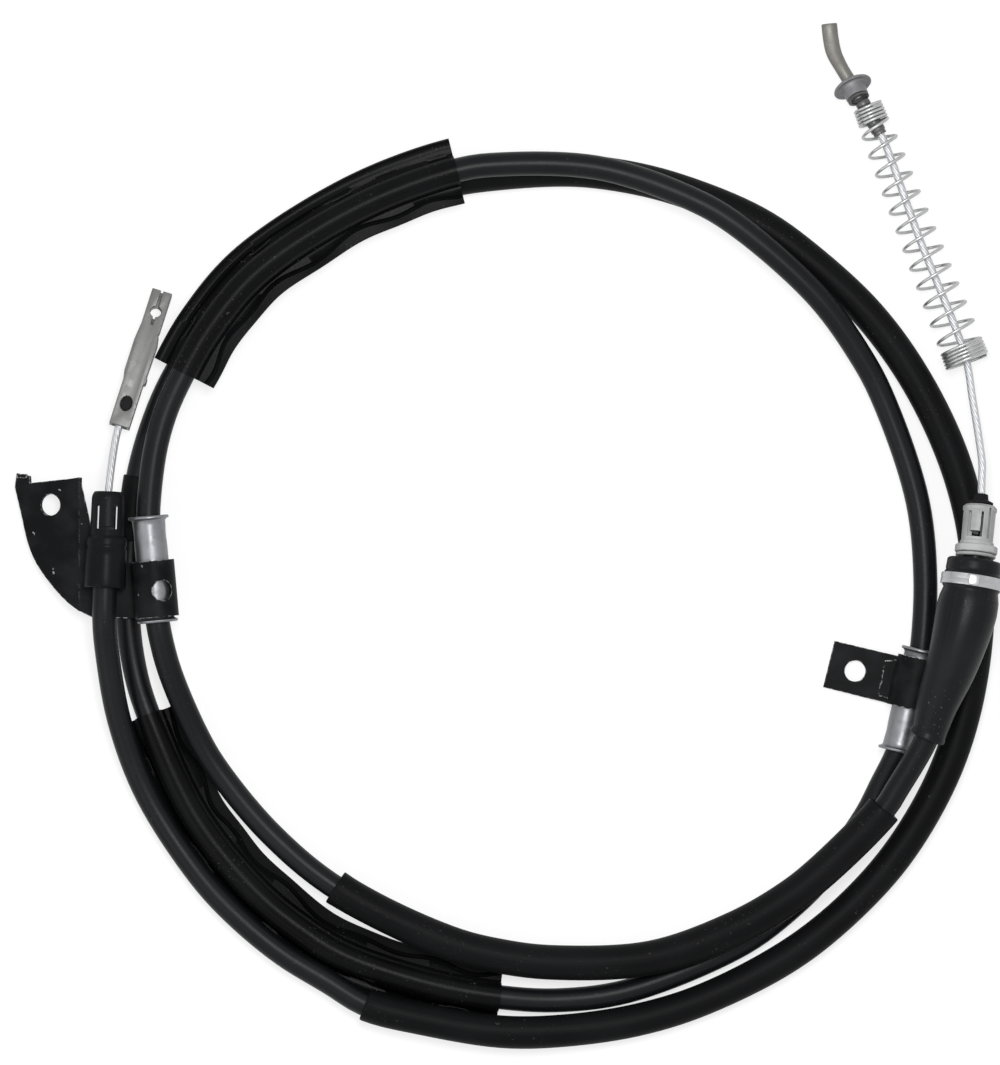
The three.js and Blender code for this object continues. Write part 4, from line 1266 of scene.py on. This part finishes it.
@dataclass
class RearFitting:
    """Snap-in fitting at the rear: ribbed body, tongues between slots, ring and rubber tip."""

    finishes: Finishes

    def build(self) -> list[bpy.types.Object]:
        """Models the fitting, its ring and its tip."""
        track = axis_track(REAR_ORIGIN, REAR_AXIS, 0.05)
        body = turned("rear_fitting_body", track, millimetres([
            (2.6, 6.1), (2.6, 8.7), (2.9, 9.1), (5.4, 9.1), (5.8, 8.7), (5.8, 7.5), (6.0, 7.3),
            (7.2, 7.3), (7.6, 6.9),
            (8.0, 6.8), (20.4, 6.9), (21.0, 7.3), (22.4, 7.2), (23.3, 6.2), (23.3, 3.5),
            (6.6, 3.5), (6.6, 6.1),
        ]), 64)
        here = track.matrix(0.0) @ Matrix.Rotation(math.pi, 4, "Y")
        openings = ((-1.4, -0.4, 11, 20), (3.7, 4.9, 9, 20), (-1.4, 4.9, 9, 11.6),
            (-4.4, -3.6, 8.6, 22))
        cuts = [
            moved(cutter((x0, low, s0), (x1, high, s1)), here)
            for low, high in ((2.2, 8.0), (-8.0, -2.2)) for x0, x1, s0, s1 in openings
        ]
        combined(body, cuts, "DIFFERENCE")
        soften(body, 0.14 * MM)
        dress(body, self.finishes.nylon, Body.COIL, "grey_nylon", "rear_fitting")
        ring = turned("rear_ring_band", track, millimetres([(0.9, 5.8), (0.9, 8.3), (1.2, 8.6),
            (2.0, 8.6), (2.3, 8.3), (2.3, 5.8)]), 56)
        soften(ring, 0)
        dress(ring, self.finishes.nylon, Body.COIL, "grey_nylon", "rear_ring")
        tip = turned("tip_seal", track, millimetres([
            (23.6, 2.3), (23.6, 5.0), (24.0, 5.4), (24.7, 5.4), (25.1, 4.6), (25.7, 3.3),
            (26.6, 3.1), (27.8, 2.95), (28.2, 2.7), (28.2, 2.3),
        ]), 40)
        soften(tip, 0)
        dress(tip, self.finishes.plug, Body.COIL, "black_rubber", "rubber_tip")
        return [body, ring, tip]


@dataclass
class RearEnd:
    """What slides at the rear: strand, bent end fitting, flange, ring, crimped barrel and spring."""

    finishes: Finishes
    strand_radius: float = 1.65 * MM
    turns: int = 22
    closed: tuple[int, int] = (5, 5)
    wire: float = 0.7 * MM
    collar_radius: float = 5.9 * MM
    top_radius: float = 6.8 * MM
    bottom_radius: float = 9.3 * MM

    def strand(self) -> bpy.types.Object:
        """Models the strand from inside the tip to inside the barrel."""
        tip = np.array(REAR_ORIGIN) + unit(np.array(REAR_AXIS)) * 28.2 * MM
        slide = unit(np.array(REAR_SLIDE))
        axis = unit(np.array(SPRING_BOTTOM) - np.array(SPRING_TOP))
        top, end = np.array(BARREL_TOP), np.array(BARREL_END)
        foot = np.array(SPRING_BOTTOM) - axis * 3 * MM
        inside = end + (top - end) * 0.25
        points = [tip + slide * d * MM for d in (-6, 0, 7, 13)]
        points += [np.array([201.6, 41.5, 19.2]) * MM, np.array([199.2, 57.5, 16.4]) * MM, foot]
        points += [(foot + inside) / 2, end + (top - end) * -0.12, inside]
        obj = twisted("rear_strand_wires", np.array(points), self.strand_radius, 8, 26 * MM)
        return dress(obj, self.finishes.strand, Body.REAR, "steel_strand", "rear_strand")

    def fitting(self) -> list[bpy.types.Object]:
        """Models the flattened bent tube, its flange, the ring under it and the barrel."""
        bend = np.array([
            [138.2, 218.9, 7.6], [138.9, 212.5, 7.7], [140.2, 206.4, 8.2], [143.2, 200.3, 8.8],
            [146.6, 194.6, 9.2], [151.0, 186.8, 9.6],
        ]) * MM
        track = Track(smooth_line(bend, 12))

        def squeeze(along: np.ndarray) -> tuple[np.ndarray, np.ndarray]:
            """Flattens the far end of the tube."""
            flat = np.clip((0.62 - along / track.length) / 0.35, 0, 1)
            flat = flat * flat * (3 - 2 * flat)
            return 1 + 0.17 * flat, 1 - 0.31 * flat

        n = track.length
        tube = turned("bent_end", track, [
            (0.0, 2.0 * MM), (0.0, 2.7 * MM), (0.3 * MM, 2.9 * MM), (n, 2.9 * MM),
            (n, 1.9 * MM), (0.3 * MM, 1.9 * MM),
        ], 32, 0.0015, True, None, squeeze)
        soften(tube, 0)
        dress(tube, self.finishes.cast, Body.REAR, "cast_steel", "rear_end_fitting")
        axis = unit(np.array(NECK_AXIS))
        lean = unit(axis + np.array([0.0, 0.0, 0.40]))
        neck = axis_track(tuple(np.array(NECK) + (axis - lean) * 2.2 * MM - np.array([0.8, 0.0,
            0.0]) * MM), tuple(lean), 0.01)
        flange = turned("flange_dish", neck, millimetres([
            (-1.6, 3.3), (-1.6, 4.2), (-1.3, 4.8), (-0.9, 6.0), (-0.4, 7.4), (0.2, 8.3),
            (0.8, 8.6), (1.3, 8.5), (1.4, 8.1),
            (1.0, 7.2), (0.8, 6.3), (1.0, 5.7), (1.6, 5.3), (6.2, 4.9), (6.4, 4.6), (6.4, 3.3),
        ]), 48)
        soften(flange, 0)
        dress(flange, self.finishes.flange, Body.REAR, "cast_steel", "flange_collar")
        ring = turned("flange_seal", neck, millimetres([(6.8, 3.3), (6.8, 4.5), (7.0, 4.8), (7.5, 4.8),
            (7.7, 4.5), (7.7, 3.3)]), 40)
        soften(ring, 0)
        dress(ring, self.finishes.dark, Body.REAR, "dark_steel", "flange_ring")
        axis = np.array(BARREL_END) - np.array(BARREL_TOP)
        length = float(np.linalg.norm(axis)) / MM
        profile = [(0.0, 2.0), (0.0, 2.8), (0.3, 3.0)]
        pitch = (length - 1.4) / 5
        for k in range(5):
            z = 0.7 + k * pitch
            profile += [(z + 0.2, 3.1), (z + 0.5, 3.2), (z + pitch - 1.2, 3.2), (z + pitch - 0.9, 3.0),
                (z + pitch - 0.5, 2.75)]
        profile += [(length - 0.2, 2.9), (length, 2.7), (length, 2.0)]
        barrel = turned("crimped_barrel", axis_track(BARREL_TOP, axis, length * MM),
            millimetres(profile), 36)
        soften(barrel, 0)
        dress(barrel, self.finishes.dark, Body.REAR, "dark_steel", "crimp_barrel")
        return [tube, flange, ring, barrel]

    def spring(self) -> bpy.types.Object:
        """Models the spring: closed coils at both ends and open ones between."""
        top, bottom = np.array(SPRING_TOP), np.array(SPRING_BOTTOM)
        length = float(np.linalg.norm(bottom - top))
        axis = (bottom - top) / length
        side = unit(np.cross([0.0, 0.0, 1.0], axis))
        up = np.cross(axis, side)
        turns = np.linspace(0, self.turns, self.turns * 30 + 1)
        closed = 1.52 * MM
        first, last = self.closed
        along = np.interp(
            turns, [0, first, self.turns - last, self.turns], [0, first * closed,
                length - last * closed, length]
        )
        radius = np.interp(
            along, [0, first * closed, first * closed + 6 * MM, length],
            [self.collar_radius, self.collar_radius + 0.3 * MM, self.top_radius + 0.1 * MM,
                self.bottom_radius],
        )
        angle = turns * 2 * math.pi
        ring = side[None] * np.cos(angle)[:, None] + up[None] * np.sin(angle)[:, None]
        points = top + axis * along[:, None] + ring * radius[:, None]
        track = Track(points, tuple(axis))
        obj = turned("spring_wire_coils", track, [(0.0, self.wire), (track.length, self.wire)], 10,
            0.0016, False)
        soften(obj, 0)
        return dress(obj, self.finishes.spring, Body.REAR, "bright_zinc", "return_spring")

    def build(self) -> list[bpy.types.Object]:
        """Models every piece of the rear end."""
        return [self.strand(), *self.fitting(), self.spring()]


@dataclass
class FrontFitting:
    """Black snap fitting at the front: collar, fingers between slots and a rounded mouth."""

    finishes: Finishes

    def build(self) -> bpy.types.Object:
        """Models the fitting."""
        track = axis_track(FRONT_ORIGIN, FRONT_AXIS, 0.06)
        body = turned("front_fitting_body", track, millimetres([
            (0.3, 6.9), (0.3, 8.4), (0.6, 8.8), (1.6, 8.95), (16.4, 8.9), (17.0, 8.5),
            (18.2, 8.5), (18.6, 8.8),
            (21.2, 8.7), (22.0, 8.0), (22.6, 7.2), (38.6, 7.0), (39.8, 6.8), (41.0, 6.3),
            (41.5, 5.8), (41.5, 3.5), (6.2, 3.5), (6.2, 5.95), (2.2, 5.95),
        ]), 64)
        here = track.matrix(0.0) @ Matrix.Rotation(math.pi, 4, "Y")
        cuts = []
        for face in (1, -1):
            low, high = (6.1, 9.0) if face > 0 else (-9.0, -6.1)
            left, right = sorted((3.3 * face, 4.4 * face))
            cuts.append(moved(cutter((-4.2, low, 24.8), (4.2, high, 26.4)), here))
            cuts.append(moved(cutter((left, -9.0, 25.4), (right, 9.0, 35.5)), here))
        combined(body, cuts, "DIFFERENCE")
        soften(body, 0.14 * MM)
        return dress(body, self.finishes.clip, Body.COIL, "black_nylon", "front_fitting")


@dataclass
class FrontEnd:
    """What slides at the front: strand, folded steel terminal and rubber plug."""

    finishes: Finishes
    foot: Point = (-166.0 * MM, 46.0 * MM, 14.0 * MM)
    head: Point = (-147.9 * MM, 104.3 * MM, 3.35 * MM)
    half: float = 3.1 * MM
    wall: float = 1.15 * MM

    def seat(self) -> Matrix:
        """Frame of the terminal: X across, Y up, Z towards its free end."""
        z = (Vector(self.head) - Vector(self.foot)).normalized()
        x = Vector((0, 0, 1)).cross(z).normalized()
        y = z.cross(x)
        rows = [(x[k], y[k], z[k], self.foot[k]) for k in range(3)]
        return Matrix((*rows, (0.0, 0.0, 0.0, 1.0)))

    def terminal(self) -> bpy.types.Object:
        """Models the terminal."""
        outline = [
            (-4.5, 0), (4.5, 0), (4.5, 20), (5.4, 20.6), (5.4, 23), (4.9, 23.6), (5.2, 38),
            (4.6, 41.6), (4.0, 42.2),
            (4.2, 43.2), (4.4, 44), (4.4, 61.5), (-4.4, 61.5), (-4.4, 46), (-5.2, 38),
            (-5.2, 24), (-4.5, 20),
        ]
        body = plate("terminal_box", [(x * MM, y * MM) for x, y in outline], -self.half, 2 * self.half)
        moved(body, Matrix.Rotation(math.pi, 4, "Z") @ Matrix.Rotation(math.pi / 2, 4, "X"))
        inner = self.half - self.wall
        hollow = block("hollow", (-3.2 * MM, -inner, -2 * MM), (3.2 * MM, inner, 70 * MM))
        slit = block("slit", (-0.5 * MM, 0.0, 46 * MM), (0.5 * MM, 6 * MM, 70 * MM))
        across = Matrix.Rotation(math.pi / 2, 4, "X")
        hole = moved(drum("hole", 2.4 * MM, -6 * MM, 6 * MM),
            Matrix.Translation((0, 0, 52 * MM)) @ across)
        oval = moved(drum("oval", 2.6 * MM, 0, 6 * MM),
            Matrix.Translation((0, 0, 10 * MM)) @ Matrix.Scale(1.3, 4,
            (0, 0, 1)) @ Matrix.Rotation(-math.pi / 2, 4, "X"))
        combined(body, [hollow, slit, hole, oval], "DIFFERENCE")
        soften(body, 0.35 * MM, 3)
        moved(body, self.seat())
        return dress(body, self.finishes.terminal, Body.FRONT, "bright_zinc", "front_terminal")

    def plug(self) -> bpy.types.Object:
        """Models the plug in the oval hole."""
        obj = drum("oval_plug", 2.3 * MM, 2.0 * MM, 2.95 * MM)
        moved(obj, self.seat() @ Matrix.Translation((0, 0, 10 * MM)) @ Matrix.Scale(1.3, 4,
            (0, 0, 1)) @ Matrix.Rotation(-math.pi / 2, 4, "X"))
        soften(obj, 0.25 * MM, 3)
        return dress(obj, self.finishes.plug, Body.FRONT, "black_rubber", "terminal_plug")

    def strand(self) -> bpy.types.Object:
        """Models the strand from inside the fitting to inside the terminal."""
        mouth = np.array(FRONT_ORIGIN) + unit(np.array(FRONT_AXIS)) * 41.5 * MM
        slide = unit(np.array([0.037, 0.999, 0.0]))
        axis = unit(np.array(self.head) - np.array(self.foot))
        points = [mouth + slide * d * MM for d in (-20, -10, 0)]
        points += [np.array(self.foot) + axis * d * MM for d in (-4, 5.5)]
        obj = twisted("front_strand_wires", np.array(points), 1.65 * MM, 8, 26 * MM)
        return dress(obj, self.finishes.strand, Body.FRONT, "steel_strand", "front_strand")

    def build(self) -> list[bpy.types.Object]:
        """Models every piece of the front end."""
        return [self.terminal(), self.plug(), self.strand()]


@dataclass
class Studio:
    """White floor, even light and a long lens straight above the coil."""

    center: tuple[float, float] = (-3.0 * MM, 0.65 * MM)
    width: float = 0.430
    height: float = 3.2
    floor_size: float = 6.0
    floor_tone: float = 0.36
    floor_glow: float = 0.72
    ambient: float = 0.42
    lamps: tuple[tuple[str, Point, float, float], ...] = (
        ("key_lamp", (0.06, 0.22, 1.5), 0.42, 12.0), ("fill_lamp", (-1.1, -0.5, 1.1), 0.9, 3.5),
    )

    def floor(self) -> None:
        """Lays the floor, white to the camera and in reflections, that keeps the shadow."""
        bpy.ops.object.select_all(action="DESELECT")
        bpy.ops.mesh.primitive_plane_add(size=self.floor_size, location=(0, 0, -0.0006))
        floor = bpy.context.object
        floor.name = "studio_floor"
        p = Paint("floor_white")
        p.join(p.shader.inputs["Base Color"], (self.floor_tone,) * 3)
        p.join(p.shader.inputs["Roughness"], 0.9)
        p.join(p.shader.inputs["Specular IOR Level"], 0.0)
        camera, glossy, through = (p.node("ShaderNodeLightPath", {}, {}, ray) for ray in RAYS)
        seen = (camera + glossy + through).clamped()
        glow = p.node("ShaderNodeEmission", {},
            {"Color": (1.0, 1.0, 1.0), "Strength": seen * self.floor_glow})
        both = p.node("ShaderNodeAddShader", {}, {0: Signal(p, p.shader.outputs[0]), 1: glow})
        p.join(p.output.inputs["Surface"], both)
        floor.data.materials.append(p.material)

    def world(self) -> None:
        """Fills the world with even light that the camera sees as white."""
        world = bpy.data.worlds.new("studio_world")
        bpy.context.scene.world = world
        world.use_nodes = True
        tree = world.node_tree
        back = tree.nodes["Background"]
        path = tree.nodes.new("ShaderNodeLightPath")
        level = tree.nodes.new("ShaderNodeMapRange")
        level.inputs["To Min"].default_value = self.ambient
        level.inputs["To Max"].default_value = 1.0
        total = path.outputs[RAYS[0]]
        for ray in RAYS[1:]:
            more = tree.nodes.new("ShaderNodeMath")
            more.operation = "ADD"
            tree.links.new(total, more.inputs[0])
            tree.links.new(path.outputs[ray], more.inputs[1])
            total = more.outputs[0]
        tree.links.new(total, level.inputs["Value"])
        tree.links.new(level.outputs[0], back.inputs["Strength"])
        back.inputs["Color"].default_value = (1.0, 1.0, 1.0, 1.0)

    def lamp(self, name: str, place: Point, size: float, power: float) -> None:
        """Hangs one soft lamp that looks at the coil."""
        data = bpy.data.lights.new(name, "AREA")
        data.shape = "SQUARE"
        data.size = size
        data.energy = power
        lamp = bpy.data.objects.new(name, data)
        bpy.context.scene.collection.objects.link(lamp)
        lamp.location = place
        lamp.visible_camera = False
        lamp.rotation_euler = (-Vector(place)).to_track_quat("-Z", "Y").to_euler()

    def camera(self) -> None:
        """Hangs the camera."""
        data = bpy.data.cameras.new("studio_camera")
        data.sensor_fit = "HORIZONTAL"
        data.sensor_width = 36.0
        data.lens = 36.0 * self.height / self.width
        data.clip_end = 50.0
        camera = bpy.data.objects.new("studio_camera", data)
        bpy.context.scene.collection.objects.link(camera)
        camera.location = (*self.center, self.height)
        camera.rotation_euler = (0.0, 0.0, 0.0)
        bpy.context.scene.camera = camera

    def build(self) -> None:
        """Sets up the studio."""
        self.camera()
        self.floor()
        self.world()
        for lamp in self.lamps:
            self.lamp(*lamp)
        bpy.context.scene.view_settings.view_transform = "Standard"


def main() -> None:
    """Builds the studio and every piece, and dresses what stays of the CAD frame."""
    logging.basicConfig(level=logging.INFO, format="%(message)s")
    Studio().build()
    finishes = Finishes()
    conduit = Conduit(finishes)
    jacket = conduit.build()
    Sleeves(finishes).build()
    Boot(finishes).build()
    LeftBracket(finishes, "left").build()
    RightBracket(finishes, "right").build()
    Guard(finishes, "upper_guard", "upperGuard", 0.4).build()
    Guard(finishes, "lower_guard", "lowerGuard", 2.1).build()
    RearFitting(finishes).build()
    RearEnd(finishes).build()
    front = FrontFitting(finishes).build()
    FrontEnd(finishes).build()
    conduit.declare()
    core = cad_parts["inner_cable"]
    core.data.materials.clear()
    core.data.materials.append(finishes.strand)


if __name__ == "__main__":
    main()
